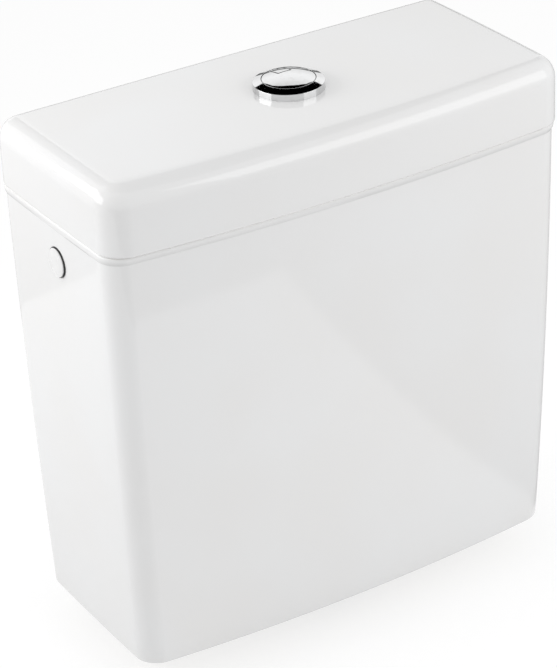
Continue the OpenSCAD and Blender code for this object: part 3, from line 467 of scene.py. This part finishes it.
def ceramic_tree():
    floats = ("Lid Width", "Lid Depth", "Middle", "Front Bow", "Side Bow", "Back Plane")
    inputs = [("Plan", "Geometry"), ("Wall", "Object"), ("Holes", "Object"), ("Glaze", "Material")]
    tree, plan = new_tree("ceramic_shell", inputs + [(label, "Float") for label in floats])
    ring = plan.node("GeometryNodeMeshToCurve", {}, {"Mesh": plan})
    wall = plan.node("GeometryNodeObjectInfo", {}, {"Object": plan.other("Wall")}, out="Geometry")
    wall = plan.node("GeometryNodeMeshToCurve", {}, {"Mesh": wall})
    shell = plan.node("GeometryNodeCurveToMesh", {}, {"Curve": ring, "Profile Curve": wall})

    def stored(name):
        kind = {"data_type": "FLOAT_VECTOR"}
        vector = plan.node("GeometryNodeInputNamedAttribute", kind, {"Name": name}, out="Attribute")
        split = plan.node("ShaderNodeSeparateXYZ", {}, {0: vector})
        return split, split.other(1), split.other(2)

    lean_x, lean_y, _ = stored("lean")
    out_x, out_y, _ = stored("outward")
    half_width, front, back = stored("reach")
    front_r, rear_r, gather = stored("rounding")
    height, crown, _ = stored("rise")
    width, depth, middle, bow, side, plane = (plan.other(label) for label in floats)
    radius = rear_r + (front_r - rear_r) * plan.math("LESS_THAN", lean_y, 0)
    mid = (back + front) / 2
    half = (back - front) / 2
    x = lean_x * (half_width - radius) + out_x * radius
    y = mid + lean_y * (half - radius) + out_y * radius
    u = (y - mid) / half
    over = plan.math("MINIMUM", plan.math("ABSOLUTE", x) / half_width, 1)
    bowed_x = x + plan.math("SIGN", x) * side * (1 - u * u) * over
    bowed_y = y - bow * (1 - (x / half_width) * (x / half_width)) * plan.math("MAXIMUM", -u, 0)
    end_x = bowed_x * gather
    end_y = plan.math("MINIMUM", mid + (bowed_y - mid) * gather, plane)
    across = end_x * 2 / width
    along = (end_y - middle) * 2 / depth
    end_z = height + crown * (1 - across * across) * plan.math("MAXIMUM", 1 - along * along, 0)
    place = plan.node("ShaderNodeCombineXYZ", {}, {0: end_x, 1: end_y, 2: end_z})
    shaped = plan.node("GeometryNodeSetPosition", {}, {"Geometry": shell, "Position": place})
    closed = plan.node("GeometryNodeMergeByDistance", {}, {"Geometry": shaped, "Distance": 0.000002})
    holes = plan.node("GeometryNodeObjectInfo", {}, {"Object": plan.other("Holes")}, out="Geometry")
    settings = {"operation": "DIFFERENCE", "solver": "EXACT"}
    pierced = plan.node("GeometryNodeMeshBoolean", settings, {0: closed, 1: holes})
    end_tree(pierced, plan.other("Glaze"))
    return tree


def plan_ring(corner_steps=14, back_steps=56, side_steps=26, front_steps=84):
    """Round a rounded rectangle: the corner that each point leans to, and its outward direction."""
    ring = []
    corners = ((1, 1), (-1, 1), (-1, -1), (1, -1))
    straights = (back_steps, side_steps, front_steps, side_steps)
    for i, steps in enumerate(straights):
        here, there = Vector(corners[i]), Vector(corners[(i + 1) % 4])
        for k in range(corner_steps + 1):
            q = math.pi / 2 * (i + k / corner_steps)
            ring.append((tuple(here), (math.cos(q), math.sin(q))))
        for k in range(1, steps):
            ring.append((tuple(here.lerp(there, k / steps)), (math.cos(q), math.sin(q))))
    return ring


def polyline(name, count, columns, cyclic):
    """Mesh of a line of points that carries vectors by name, in metres."""
    edges = [(i, (i + 1) % count) for i in range(count if cyclic else count - 1)]
    mesh = bpy.data.meshes.new(name)
    if cyclic:
        turns = [2 * math.pi * i / count for i in range(count)]
        line = [(0.1 * math.cos(q), 0.1 * math.sin(q), 0) for q in turns]
    else:
        line = [(0, 0, 0.001 * i) for i in range(count)]
    mesh.from_pydata(line, edges, [])
    for label, rows in columns.items():
        store = mesh.attributes.new(label, "FLOAT_VECTOR", "POINT")
        store.data.foreach_set("vector", [n for row in rows for n in row])
    return new_object(name, mesh)


def level(z, inset, front_round, rear_round, crown=0.0, gather=1.0):
    """One step of a ceramic wall, given by how far it lies inside the lid's outline."""
    reach = (lid_w / 2 - inset[0], lid_front + inset[1], lid_back - inset[2])
    scaled = tuple(n * MM for n in reach)
    return scaled, (front_round * MM, rear_round * MM, gather), (z * MM, crown * MM, 0.0)


def arc(steps):
    """Cosine and sine of steps from 0 to 90 degrees."""
    turns = [math.pi / 2 * i / steps for i in range(steps + 1)]
    return [(math.cos(q), math.sin(q)) for q in turns]


def inside(inset, d):
    return tuple(n + d for n in inset)


def tank_wall():
    def outer(z, d, gather=1.0):
        side, front, back = inside(wall_inset(z), d)
        return level(z, (side, front, back - back_stock), tank_front_r, tank_rear_r, 0, gather)

    def inner(z, d, gather=1.0):
        return level(z, inside(wall_inset(z), wall_t + d), inner_r, inner_r, 0, gather)

    wall = [outer(0, foot_r, g) for g in (0, 0.3, 0.6, 0.85)]
    wall += [outer(foot_r * (1 - c), foot_r * (1 - s)) for c, s in arc(7)]
    wall += [outer(foot_r + (bead_z - foot_r) * i / 30, 0) for i in range(1, 31)]
    shares = [i / 9 for i in range(1, 9)]
    wall += [outer(bead_z + (bead_h - bead_r) * u, -bead_out * (1 - (1 - u) ** 2)) for u in shares]
    wall += [outer(rim_z - bead_r * (1 - s), bead_r * (1 - c) - bead_out) for c, s in arc(9)]
    wall += [inner(rim_z - rim_edge_r * (1 - c), -rim_edge_r * (1 - s)) for c, s in arc(8)]
    low = floor_t + floor_fillet
    wall += [inner(rim_z - rim_edge_r - (rim_z - rim_edge_r - low) * i / 18, 0) for i in range(1, 19)]
    wall += [inner(floor_t + floor_fillet * (1 - s), floor_fillet * (1 - c)) for c, s in arc(8)[1:]]
    wall += [inner(floor_t, floor_fillet, g) for g in (0.8, 0.55, 0.3, 0)]
    return wall


def lid_wall():
    lip_in = inside((rim_side_in, rim_front_in, back_in), wall_t + lip_gap)

    def cavity(z, d, gather=1.0):
        return level(z, inside(lip_in, d), cavity_r, cavity_r, 0, gather)

    def skin(z, d, crown=0.0, gather=1.0):
        return level(z, (d, d, d), max(lid_front_r - d, 2), max(lid_rear_r - d, 2), crown, gather)

    roof, tip = lip_t + lid_fillet, rim_z - lip_h
    wall = [cavity(ceiling_z, roof, g) for g in (0, 0.3, 0.6, 0.85)]
    fillet = [(1 - c, 1 - s) for c, s in arc(7)[::-1]]
    wall += [cavity(ceiling_z - lid_fillet * v, lip_t + lid_fillet * u) for u, v in fillet]
    below = ceiling_z - lid_fillet
    wall += [cavity(below - (below - tip - lip_round) * i / 5, lip_t) for i in range(1, 5)]
    wall += [cavity(tip + lip_round * (1 - s), lip_t - lip_round * (1 - c)) for c, s in arc(7)]
    wall += [cavity(tip + lip_round * (1 - s), lip_round * (1 - c)) for c, s in arc(7)[::-1]]
    wall += [cavity(rim_z, 0)]
    wall += [skin(rim_z + lid_foot_r * (1 - c), lid_foot_r * (1 - s)) for c, s in arc(8)]
    low, high = rim_z + lid_foot_r, lid_top - lid_edge_r
    wall += [skin(low + (high - low) * i / 6, 0) for i in range(1, 6)]
    wall += [skin(lid_top - lid_edge_r * (1 - s), lid_edge_r * (1 - c), lid_crown * s) for c, s in arc(22)]
    wall += [skin(lid_top, lid_edge_r, lid_crown, 1 - i / 24) for i in range(1, 25)]
    return wall


def hole_shape(name, bores):
    """Cutters for a shell: each is an outline from its axis outwards, turned and placed."""
    points, faces = [], []
    for outline, matrix in bores:
        more, sides = lathe(outline, 96, closed=False)
        faces += [tuple(i + len(points) for i in side) for side in sides]
        points += [matrix @ (Vector(p) * MM) / MM for p in more]
    made = new_object(name, mesh_from(name, points, faces))
    tidy(made.data)
    return made


def ceramic(name, wall, holes, plane, material):
    ring = plan_ring()
    columns = {"lean": [(*lean, 0) for lean, _ in ring], "outward": [(*out, 0) for _, out in ring]}
    made = polyline(name, len(ring), columns, True)
    columns = dict(zip(("reach", "rounding", "rise"), zip(*wall)))
    profile = polyline(name + "_wall", len(wall), columns, False)
    values = {"Wall": profile, "Holes": holes, "Glaze": material, "Back Plane": plane * MM}
    values |= {"Lid Width": lid_w * MM, "Lid Depth": lid_d * MM, "Middle": axis_ahead * MM}
    values |= {"Front Bow": front_bow * MM, "Side Bow": side_bow * MM}
    grow(made, shell_tree, values)
    for used in (profile, holes):
        bpy.data.objects.remove(used)
    for label in ("lean", "outward", "reach", "rounding", "rise"):
        if label in made.data.attributes:
            made.data.attributes.remove(made.data.attributes[label])
    tidy(made.data, 16)
    return made


def bore(low, high, radius, edge):
    """Outline of a straight hole whose two ends are slightly rounded."""
    line = [(0, low - 4), (radius + edge, low - 4), (radius + edge, low)]
    line += [(radius + edge * (1 - s), low + edge * (1 - c)) for c, s in arc(7)]
    line += [(radius + edge * (1 - c), high - edge * (1 - s)) for c, s in arc(7)]
    return line + [(radius + edge, high + 4), (0, high + 4)]


def inlet_bore(outer_r):
    wall = inlet_out_x - inlet_in_x
    return [(0, -5), (nut_spot_r, -5), (nut_spot_r, 0), (inlet_hole_r, 0), (inlet_hole_r, wall),
            (outer_r, wall), (outer_r, wall + 5), (0, wall + 5)]


shell_tree = ceramic_tree()
upright = Matrix.Identity(4)
bolts = [Matrix.Translation((s * bolt_spacing / 2 * MM, 0, 0)) for s in (-1, 1)]
tank_holes = [(bore(0, floor_t, outlet_hole_r, 1.2), upright)]
tank_holes += [(bore(0, floor_t, bolt_hole_r, 0.9), place) for place in bolts]
tank_holes.append((inlet_bore(nut_spot_r), along_x(inlet_in_x)))
tank_holes.append((inlet_bore(plug_spot_r), along_x(inlet_in_x, -1)))
lid_holes = [([(0, ceiling_z - 6), (lid_hole_r + 1, ceiling_z - 6), (lid_hole_r + 1, ceiling_z),
               (lid_hole_r, ceiling_z + 1), (lid_hole_r, seat_z), (bezel_r + seat_slack, seat_z),
               (bezel_r + seat_slack, lid_top + 8), (0, lid_top + 8)], upright)]
tank_cut = hole_shape("tank_holes", tank_holes)
tank_shell = ceramic("tank_shell", tank_wall(), tank_cut, lid_back - back_in, tank_glaze)
lid_cut = hole_shape("lid_holes", lid_holes)
lid_shell = ceramic("lid_shell", lid_wall(), lid_cut, lid_back + 1, lid_glaze)
dress(tank_shell, tank_glaze, "glaze", "tank", "tank")
dress(lid_shell, lid_glaze, "glaze", "lid", "lid")


# Push button


def rounded_square(width, corner, q):
    """Point at an angle on a square outline with rounded corners."""
    flat = width / 2 - corner
    direction = Vector((math.cos(q), math.sin(q)))
    reach = width / 2 / max(abs(direction.x), abs(direction.y))
    point = direction * reach
    core = Vector((max(-flat, min(flat, point.x)), max(-flat, min(flat, point.y))))
    away = point - core
    return core + away.normalized() * corner


def dome_z(x, y):
    return dome_centre_z + math.sqrt(dome_sphere_r ** 2 - x * x - y * y)


def true_dome(made):
    """Gives the points of a domed face the exact direction of its sphere."""
    centre = Vector((0, 0, dome_centre_z)) * MM
    directions = []
    for vertex in made.data.vertices:
        away = vertex.co - centre
        on_face = abs(away.length - dome_sphere_r * MM) < 0.000002
        directions.append(away.normalized() if on_face else Vector((0, 0, 0)))
    made.data.normals_split_custom_set_from_vertices(directions)


def ring_loft(name, rings, cyclic):
    """Surface through rings with the same number of points; cyclic closes the last to the first."""
    count = len(rings[0])
    points = [p for ring in rings for p in ring]
    faces = []
    for i in range(len(rings) if cyclic else len(rings) - 1):
        k = (i + 1) % len(rings)
        faces += [(i * count + j, i * count + (j + 1) % count, k * count + (j + 1) % count, k * count + j)
                  for j in range(count)]
    if not cyclic:
        faces.append(tuple(range(count)))
        faces.append(tuple((len(rings) - 1) * count + j for j in range(count)))
    made = new_object(name, mesh_from(name, points, faces))
    tidy(made.data)
    return made


angles = [2 * math.pi * (j + 0.5) / 128 for j in range(128)]


def key_ring(width, z):
    """Square ring round the key's middle; z is a height, or a depth below the dome if it is negative."""
    ring = []
    for q in angles:
        p = rounded_square(width, min(key_corner_r, width / 3), q)
        x, y = p.x, p.y + key_y
        ring.append((x, y, z if z > 0 else dome_z(x, y) + z))
    return ring


def full_button_rings():
    edge, lip = 0.25, 0.6
    opening = key_w + 2 * key_gap
    under = button_edge_z - dome_t
    circle = lambda r, z: [(r * math.cos(q), r * math.sin(q), z) for q in angles]
    rings = [circle(button_r - 0.3, boss_z), circle(button_r, boss_z + 0.3)]
    rings += [circle(button_r, boss_z + 0.3 + (skirt_h - edge - 0.3) * i / 3) for i in range(1, 3)]
    for c, s in arc(5):
        r = button_r - edge * (1 - c)
        rings.append(circle(r, dome_z(r, 0) - edge * (1 - s)))
    outer, hole = circle(button_r - edge, 0), key_ring(opening + 2 * lip, 1)
    for t in [0.012] + [i / 14 for i in range(1, 14)] + [0.988, 1.0]:
        ring = [Vector(a[:2]).lerp(Vector(b[:2]), t) for a, b in zip(outer, hole)]
        rings.append([(p.x, p.y, dome_z(p.x, p.y)) for p in ring])
    rings += [key_ring(opening + 2 * lip * (1 - s), -lip * (1 - c) - 0.0001) for c, s in arc(4)]
    rings += [key_ring(opening, under), [(p[0], p[1], under) for p in circle(button_r - skirt_t, under)]]
    rings += [circle(button_r - skirt_t, boss_z + 0.3), circle(button_r - skirt_t + 0.3, boss_z)]
    return rings


def half_key_rings():
    edge = 0.6
    rings = [key_ring(key_w - 0.5, boss_z), key_ring(key_w, boss_z + 0.25)]
    rings += [key_ring(key_w, -edge - 1.5), key_ring(key_w, -edge - 0.0001)]
    rings += [key_ring(key_w - 2 * edge * (1 - c), -edge * (1 - s) - 0.0001) for c, s in arc(4)[1:]]
    shares = (0.02, 0.15, 0.3, 0.45, 0.6, 0.75, 0.88)
    rings += [key_ring((key_w - 2 * edge) * (1 - t), -0.0001) for t in shares]
    return rings


ring_outline = soften(
    [(sleeve_in_r, sleeve_foot_z), (sleeve_out_r, sleeve_foot_z), (sleeve_out_r, seat_z),
     (bezel_r, seat_z), (bezel_r, bezel_top), (sleeve_in_r, bezel_top + bezel_rise)],
    [0.2, 0.2, 0, 0.05, 0.3, 0.12], 6)
ring = turned("button_ring", ring_outline, 160)
dress(ring, bright_chrome, "chrome", "lid", "button_bezel")
dome = ring_loft("button_dome", full_button_rings(), True)
true_dome(dome)
dress(dome, dome_chrome, "chrome", "full_button", "full_button")
key = ring_loft("half_flush_key", half_key_rings(), False)
true_dome(key)
dress(key, dome_chrome, "chrome", "half_key", "half_key")


# Return springs: a wire that winds up with its end turns closed


def spring_tree():
    floats = ("Coil Radius", "Wire Radius", "Turns", "Low", "High")
    inputs = [("Start", "Geometry"), ("Centre", "Vector"), ("Steel", "Material")]
    tree, start = new_tree("return_spring", inputs + [(label, "Float") for label in floats])
    coil, wire, turns, low, high = (start.other(label) for label in floats)
    sockets = {"Resolution": 40, "Rotations": turns, "Start Radius": coil, "End Radius": coil}
    spiral = start.node("GeometryNodeCurveSpiral", {}, sockets | {"Height": 0.01})
    place = start.node("GeometryNodeInputPosition")
    split = start.node("ShaderNodeSeparateXYZ", {}, {0: place})
    turn = start.node("GeometryNodeSplineParameter", {}, {}, out="Factor") * turns
    closed = wire * 2.06
    pitch = (high - low - wire * 2 - closed * 2) / (turns - 2)
    first = start.math("MINIMUM", turn, 1) * closed
    middle = start.math("MINIMUM", start.math("MAXIMUM", turn - 1, 0), turns - 2) * pitch
    last = start.math("MAXIMUM", turn - turns + 1, 0) * closed
    level_z = low + wire + first + middle + last
    moved = start.node("ShaderNodeCombineXYZ", {}, {0: split, 1: split.other(1), 2: level_z})
    settings = {"operation": "ADD"}
    moved = start.node("ShaderNodeVectorMath", settings, {0: moved, 1: start.other("Centre")})
    wound = start.node("GeometryNodeSetPosition", {}, {"Geometry": spiral, "Position": moved})
    section = start.node("GeometryNodeCurvePrimitiveCircle", {}, {"Resolution": 12, "Radius": wire})
    tube = start.node(
        "GeometryNodeCurveToMesh", {}, {"Curve": wound, "Profile Curve": section, "Fill Caps": True})
    end_tree(tube, start.other("Steel"))
    return tree


coil_tree = spring_tree()
for side, press, travel in ((-1, "full", 7), (1, "half", 5)):
    coil = new_object(press + "_spring_coil", mesh_from(press + "_spring_coil", [(0, 0, 0)], []))
    values = {"Coil Radius": spring_r * MM, "Wire Radius": wire_d / 2 * MM, "Turns": 9.0}
    values |= {"Low": spring_low * MM, "High": spring_high * MM, "Steel": cross_steel}
    values["Centre"] = (side * rod_x * MM, side * rod_y * MM, 0)
    grow(coil, coil_tree, values)
    tidy(coil.data, 50)
    dress(coil, cross_steel, "steel", "lid", press + "_return_spring")
    keep = (spring_high - spring_low - travel) / (spring_high - spring_low)
    spring_low * MM
    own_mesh(coil)


# Threads: a ridge that winds along a core


def thread_tree():
    floats = ("Crest Radius", "Depth", "Pitch", "Length")
    inputs = [("Core", "Geometry"), ("Place", "Vector"), ("Turn", "Rotation"), ("Finish", "Material")]
    tree, core = new_tree("thread", inputs + [(label, "Float") for label in floats])
    crest, depth, pitch, length = (core.other(label) for label in floats)
    middle = crest - depth * 0.75
    sockets = {"Resolution": 40, "Rotations": length / pitch, "Start Radius": middle, "End Radius": middle}
    spiral = core.node("GeometryNodeCurveSpiral", {}, sockets | {"Height": length})
    spiral = core.node("GeometryNodeSetCurveNormal", {"mode": "Z_UP"}, {"Curve": spiral})
    sockets = {"Height": depth * 1.5, "Bottom Width": pitch * 0.82, "Top Width": pitch * 0.2, "Offset": 0.0}
    section = core.node("GeometryNodeCurvePrimitiveQuadrilateral", {"mode": "TRAPEZOID"}, sockets)
    share = core.node("GeometryNodeSplineParameter", {}, {}, out="Factor")
    turns = length / pitch
    fade = core.math("MINIMUM", share * turns * 2, (1 - share) * turns * 2)
    fade = core.math("MINIMUM", fade + 0.02, 1)
    ridge = core.node(
        "GeometryNodeCurveToMesh", {},
        {"Curve": spiral, "Profile Curve": section, "Scale": fade, "Fill Caps": True})
    placed = core.node(
        "GeometryNodeTransform", {},
        {"Geometry": ridge, "Translation": core.other("Place"), "Rotation": core.other("Turn")})
    joined = core.node("GeometryNodeJoinGeometry", {}, {0: [core, placed]})
    end_tree(joined, core.other("Finish"))
    return tree


ridge_tree = thread_tree()


def threaded(made, crest, depth, pitch, length, place, turn, finish):
    values = {"Crest Radius": crest * MM, "Depth": depth * MM, "Pitch": pitch * MM, "Length": length * MM}
    values |= {"Place": tuple(n * MM for n in place), "Turn": turn, "Finish": finish}
    grow(made, ridge_tree, values)
    tidy(made.data, 32)
    return made


root = tail_r - tail_thread_d
seat_out_r, lip_z = flush_bore_r + seat_t, foot_z + seat_rise
base_outline = soften(
    [(flush_bore_r, -tail_drop), (root, -tail_drop), (root, 6), (tail_r, 8), (tail_r, flange_z),
     (flange_r, flange_z), (flange_r, foot_z), (seat_out_r, foot_z), (seat_out_r, lip_z),
     (flush_bore_r, lip_z)],
    [0.6, 0.8, 0, 0.3, 0.6, 0.6, 0.8, 1.2, 1.45, 1.45], 6)
base = turned("outlet_base", base_outline, 128)
start = (0, 0, -tail_drop + 2.4)
threaded(base, tail_r, tail_thread_d, tail_pitch, tail_drop + 3, start, (0, 0, 0), white_plastic)
dress(base, white_plastic, "white_plastic", "tank", "flush_base")

gasket_outline = soften(
    [(gasket_in_r, gasket_low), (gasket_foot_r, gasket_low), (gasket_out_r, gasket_slope_z),
     (gasket_out_r, gasket_high), (gasket_seat_r, gasket_high), (gasket_seat_r, gasket_seat_z),
     (gasket_in_r, gasket_seat_z)],
    [1.2, 1.6, 1.6, 1.4, 0.8, 0.5, 0.8], 5)
gasket = turned("pan_gasket", gasket_outline, 128)
dress(gasket, black_foam, "foam", "tank", "coupling_gasket")

shank = inlet_out_x - inlet_in_x + 9
plug_root = plug_shank_r - plug_thread_d
plug_sphere_r = (plug_r ** 2 + plug_rise ** 2) / (2 * plug_rise)
plug_top = cap_washer_t + plug_edge + plug_rise
cap_line = [(0.0, -1.5), (plug_bore_r, -1.5), (plug_bore_r, -shank), (plug_root, -shank)]
cap_line += [(plug_root, cap_washer_t - 0.6), (plug_shank_r, cap_washer_t), (plug_r - 0.3, cap_washer_t)]
cap_line += [(plug_r - 0.3 + 0.3 * s, cap_washer_t + 0.3 - 0.3 * c) for c, s in arc(4)]
for i in range(21):
    q = math.asin((plug_r - 0.25 * (1 - i / 20)) / plug_sphere_r) * (1 - i / 20)
    cap_line.append((plug_sphere_r * math.sin(q), plug_top - plug_sphere_r * (1 - math.cos(q))))
plug = new_object("inlet_plug", mesh_from("inlet_plug", *lathe(cap_line, 96, closed=False)))
plug.data.transform(along_x(inlet_out_x, -1))
tidy(plug.data)
start = (-inlet_out_x - cap_washer_t + 1.2, inlet_y, inlet_z)
reach = shank + cap_washer_t - 2
sideways = (0, math.pi / 2, 0)
threaded(plug, plug_shank_r, plug_thread_d, plug_pitch, reach, start, sideways, cap_plastic)
dress(plug, cap_plastic, "cap_plastic", "tank", "side_cap")


# Water inlet: a copy of the valve body whose tail is cut down to the thread's root
tail_skin_r, tail_root_r = 7.9, 7.55
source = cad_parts["fill_body"]
body = new_object("fill_valve_body", source.data.copy())
body.data.transform(source.matrix_world)
for vertex in body.data.vertices:
    away = vertex.co - Vector((vertex.co.x, inlet_y * MM, inlet_z * MM))
    if vertex.co.x > thread_x * MM and away.length > tail_skin_r * MM:
        vertex.co -= away.normalized() * (away.length - tail_root_r * MM)
tidy(body.data, 30)
start = (thread_x + 0.3, inlet_y, inlet_z)
reach = inlet_end_x - thread_x - 1.2
threaded(body, inlet_r, inlet_thread_d, inlet_pitch, reach, start, sideways, white_plastic)
dress(body, white_plastic, "white_plastic", "tank", "fill_body")


# Nodes that keep their shape and get their finish

finishes = [
    (white_plastic, ["bezel_nut", "button_guide", "tail_nut", "valve_tower", "inlet_nut"]),
    (white_plastic, ["discharge_pipe", "side_cap_nut"]),
    (grey_plastic, ["half_lever", "overflow_tube", "inlet_filter", "fill_cap", "fill_float"]),
    (blue_plastic, ["full_lever", "full_float", "half_float", "float_arm"]),
    (black_rubber, ["base_seal", "valve_seal", "inlet_washer", "cap_washer", "diaphragm"]),
    (drawn_steel, ["full_push_rod", "half_push_rod", "adjusting_rod"]),
    (cross_steel, ["lever_pin", "arm_pin"]),
]
for material, nodes in finishes:
    for node in nodes:
        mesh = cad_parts[node].data
        mesh.materials.clear()
        mesh.materials.append(material)


# Floor, light and camera


def floor_material():
    """White floor that keeps the shadow; mirrors see a bright sheet that ends on three sides."""
    material = bpy.data.materials.new("floor_white")
    material.use_nodes = True
    tree = material.node_tree
    tree.nodes.clear()
    ray = tree.nodes.new("ShaderNodeLightPath")
    camera_ray = Wire(tree, ray.outputs["Is Camera Ray"])
    mirrored = camera_ray.other("Is Glossy Ray") + camera_ray.other("Is Transmission Ray")
    seen = camera_ray.math("MINIMUM", camera_ray + mirrored, 1)
    place = Wire(tree, tree.nodes.new("ShaderNodeTexCoord").outputs["Object"])
    across = place.node("ShaderNodeSeparateXYZ", {}, {0: place})
    along = across.other(1)
    right_end, front_end, rear_end = (0.21, 0.23), (-0.62, -0.6), (0.548, 0.558)
    sheet = (1 - across.ramp(*right_end)) * along.ramp(*front_end) * (1 - 0.55 * along.ramp(*rear_end))
    bright = seen.math("MAXIMUM", camera_ray, sheet)
    lit = seen.node("ShaderNodeBsdfDiffuse", {}, {"Color": grey(0.75)})
    soft = seen.node("ShaderNodeBsdfDiffuse", {}, {"Color": grey(0.28)})
    tone = bright.mix(grey(0.2), grey(1.0))
    glow = seen.node("ShaderNodeEmission", {}, {"Color": tone, "Strength": 0.76})
    shown = seen.node("ShaderNodeAddShader", {}, {0: soft, 1: glow})
    mixed = seen.node("ShaderNodeMixShader", {}, {0: seen, 1: lit, 2: shown})
    out = tree.nodes.new("ShaderNodeOutputMaterial")
    tree.links.new(mixed.socket, out.inputs["Surface"])
    return material


floor_half = 9000
floor_corners = [(x * floor_half, y * floor_half, 0) for x, y in ((-1, -1), (1, -1), (1, 1), (-1, 1))]
floor = new_object("floor", mesh_from("floor", floor_corners, [(0, 1, 2, 3)]))
floor.data.transform(Matrix.Translation((0, 0, (-tail_drop - 0.2) * MM)))
floor.data.materials.append(floor_material())


def card(name, corners, tones=(0.0, 0.0, 0.0), levels=(0, 1000, 2000)):
    """Flat card that only mirrors see, with its tone at three heights."""
    made = new_object(name, mesh_from(name, corners, [tuple(range(len(corners)))]))
    material = bpy.data.materials.new(name)
    material.use_nodes = True
    tree = material.node_tree
    tree.nodes.clear()
    place = Wire(tree, tree.nodes.new("ShaderNodeTexCoord").outputs["Object"])
    height = place.node("ShaderNodeSeparateXYZ", {}, {0: place}).other(2)
    low, middle, high = (level_mm * MM for level_mm in levels)
    tone = height.ramp(low, middle).mix(grey(tones[0]), grey(tones[1]))
    tone = height.ramp(middle, high).mix(tone, grey(tones[2]))
    glow = tone.node("ShaderNodeEmission", {}, {"Color": tone, "Strength": 1.0})
    tree.links.new(glow.socket, tree.nodes.new("ShaderNodeOutputMaterial").inputs["Surface"])
    made.data.materials.append(material)
    made.visible_camera = False
    made.visible_diffuse = False
    made.visible_shadow = False


# Angles of the camera that was fitted to the photograph
yaw, pitch, roll = (math.radians(a) for a in (-30.687, 28.408, -2.956))


def ahead_of(forward, sideways, height):
    """Place in millimetres given along and across the camera's heading, and above the floor."""
    heading = Vector((math.sin(-yaw), math.cos(-yaw)))
    return (heading.x * forward + heading.y * sideways, heading.y * forward - heading.x * sideways, height)


overhead = ((-500, -1000), (-500, 1000), (960, 1000), (960, -1000))
card("overhead_flag", [ahead_of(f, s, 2000) for f, s in overhead])
rear_arch = [(-865, 0), (935, 0), (935, 2780), (622, 3361), (313, 3600), (0, 3640)]
rear_arch += [(-313, 3600), (-622, 3361), (-865, 2890)]
card("rear_card", [ahead_of(2000, s, h) for s, h in rear_arch], (0.95, 1.16, 0.92), (500, 1400, 3600))
rear_dark = ((-2400, 1560), (1700, 1560), (1700, 4000), (-2400, 4000))
card("rear_flag", [ahead_of(2010, s, h) for s, h in rear_dark])
low_dark = ((-700, 220), (700, 220), (700, 470), (-700, 470))
card("low_flag", [ahead_of(1990, s, h) for s, h in low_dark], (0.18, 0.18, 0.18))

world = bpy.data.worlds.new("studio")
bpy.context.scene.world = world
world.use_nodes = True
sky = world.node_tree
sky.nodes.clear()
ray = Wire(sky, sky.nodes.new("ShaderNodeLightPath").outputs["Is Camera Ray"])
ambient = ray.node("ShaderNodeBackground", {}, {"Color": grey(1.0), "Strength": 0.71})
white = ray.node("ShaderNodeBackground", {}, {"Color": grey(1.0), "Strength": 1.0})
both = ray.node("ShaderNodeMixShader", {}, {0: ray, 1: ambient, 2: white})
sky.links.new(both.socket, sky.nodes.new("ShaderNodeOutputWorld").inputs["Surface"])


def softbox(name, place, aim, size, radiance):
    """Soft rectangular lamp whose face has the given radiance."""
    lamp = bpy.data.lights.new(name, "AREA")
    lamp.shape = "RECTANGLE"
    lamp.size, lamp.size_y = size
    lamp.energy = radiance * math.pi * size[0] * size[1]
    made = new_object(name, lamp)
    made.location = place
    made.rotation_euler = (Vector(aim) - Vector(place)).to_track_quat("-Z", "Y").to_euler()
    return made


left_size = (0.81, 0.375)
softbox("left_softbox", (-0.775, 0.348, 0.645), (0, 0, 0.645), left_size, 3.0)
softbox("left_fill", (-0.78, 0.35, 0.645), (0, 0, 0.645), left_size, 1.0).visible_glossy = False
softbox("right_softbox", (0.8, -1.02, 0.9), (0, 0, 0.394), (1.1, 0.7), 1.75)
softbox("front_softbox", (0.8, -1.02, 0.45), (0, 0, 0.35), (1.08, 0.9), 0.55).visible_glossy = False

# Camera from the photograph's fitted view
target = Vector((-28.532, -15.847, 211.0)) * MM
focal_px, photo_h, camera_away = 2714.941, 668, 1988.216
ahead = Vector((-math.sin(yaw) * math.cos(pitch), math.cos(yaw) * math.cos(pitch), -math.sin(pitch)))
right = Vector((math.cos(yaw), math.sin(yaw), 0))
up = right.cross(ahead)
right, up = right * math.cos(roll) + up * math.sin(roll), up * math.cos(roll) - right * math.sin(roll)
lens = bpy.data.cameras.new("camera")
lens.sensor_width = 36
lens.lens = focal_px * lens.sensor_width / photo_h
lens.clip_end = 50
camera = new_object("camera", lens)
turn = Matrix((right, up, -ahead)).transposed().to_4x4()
camera.matrix_world = Matrix.Translation(target - ahead * camera_away * MM) @ turn
bpy.context.scene.camera = camera

bpy.context.scene.view_settings.view_transform = "Standard"
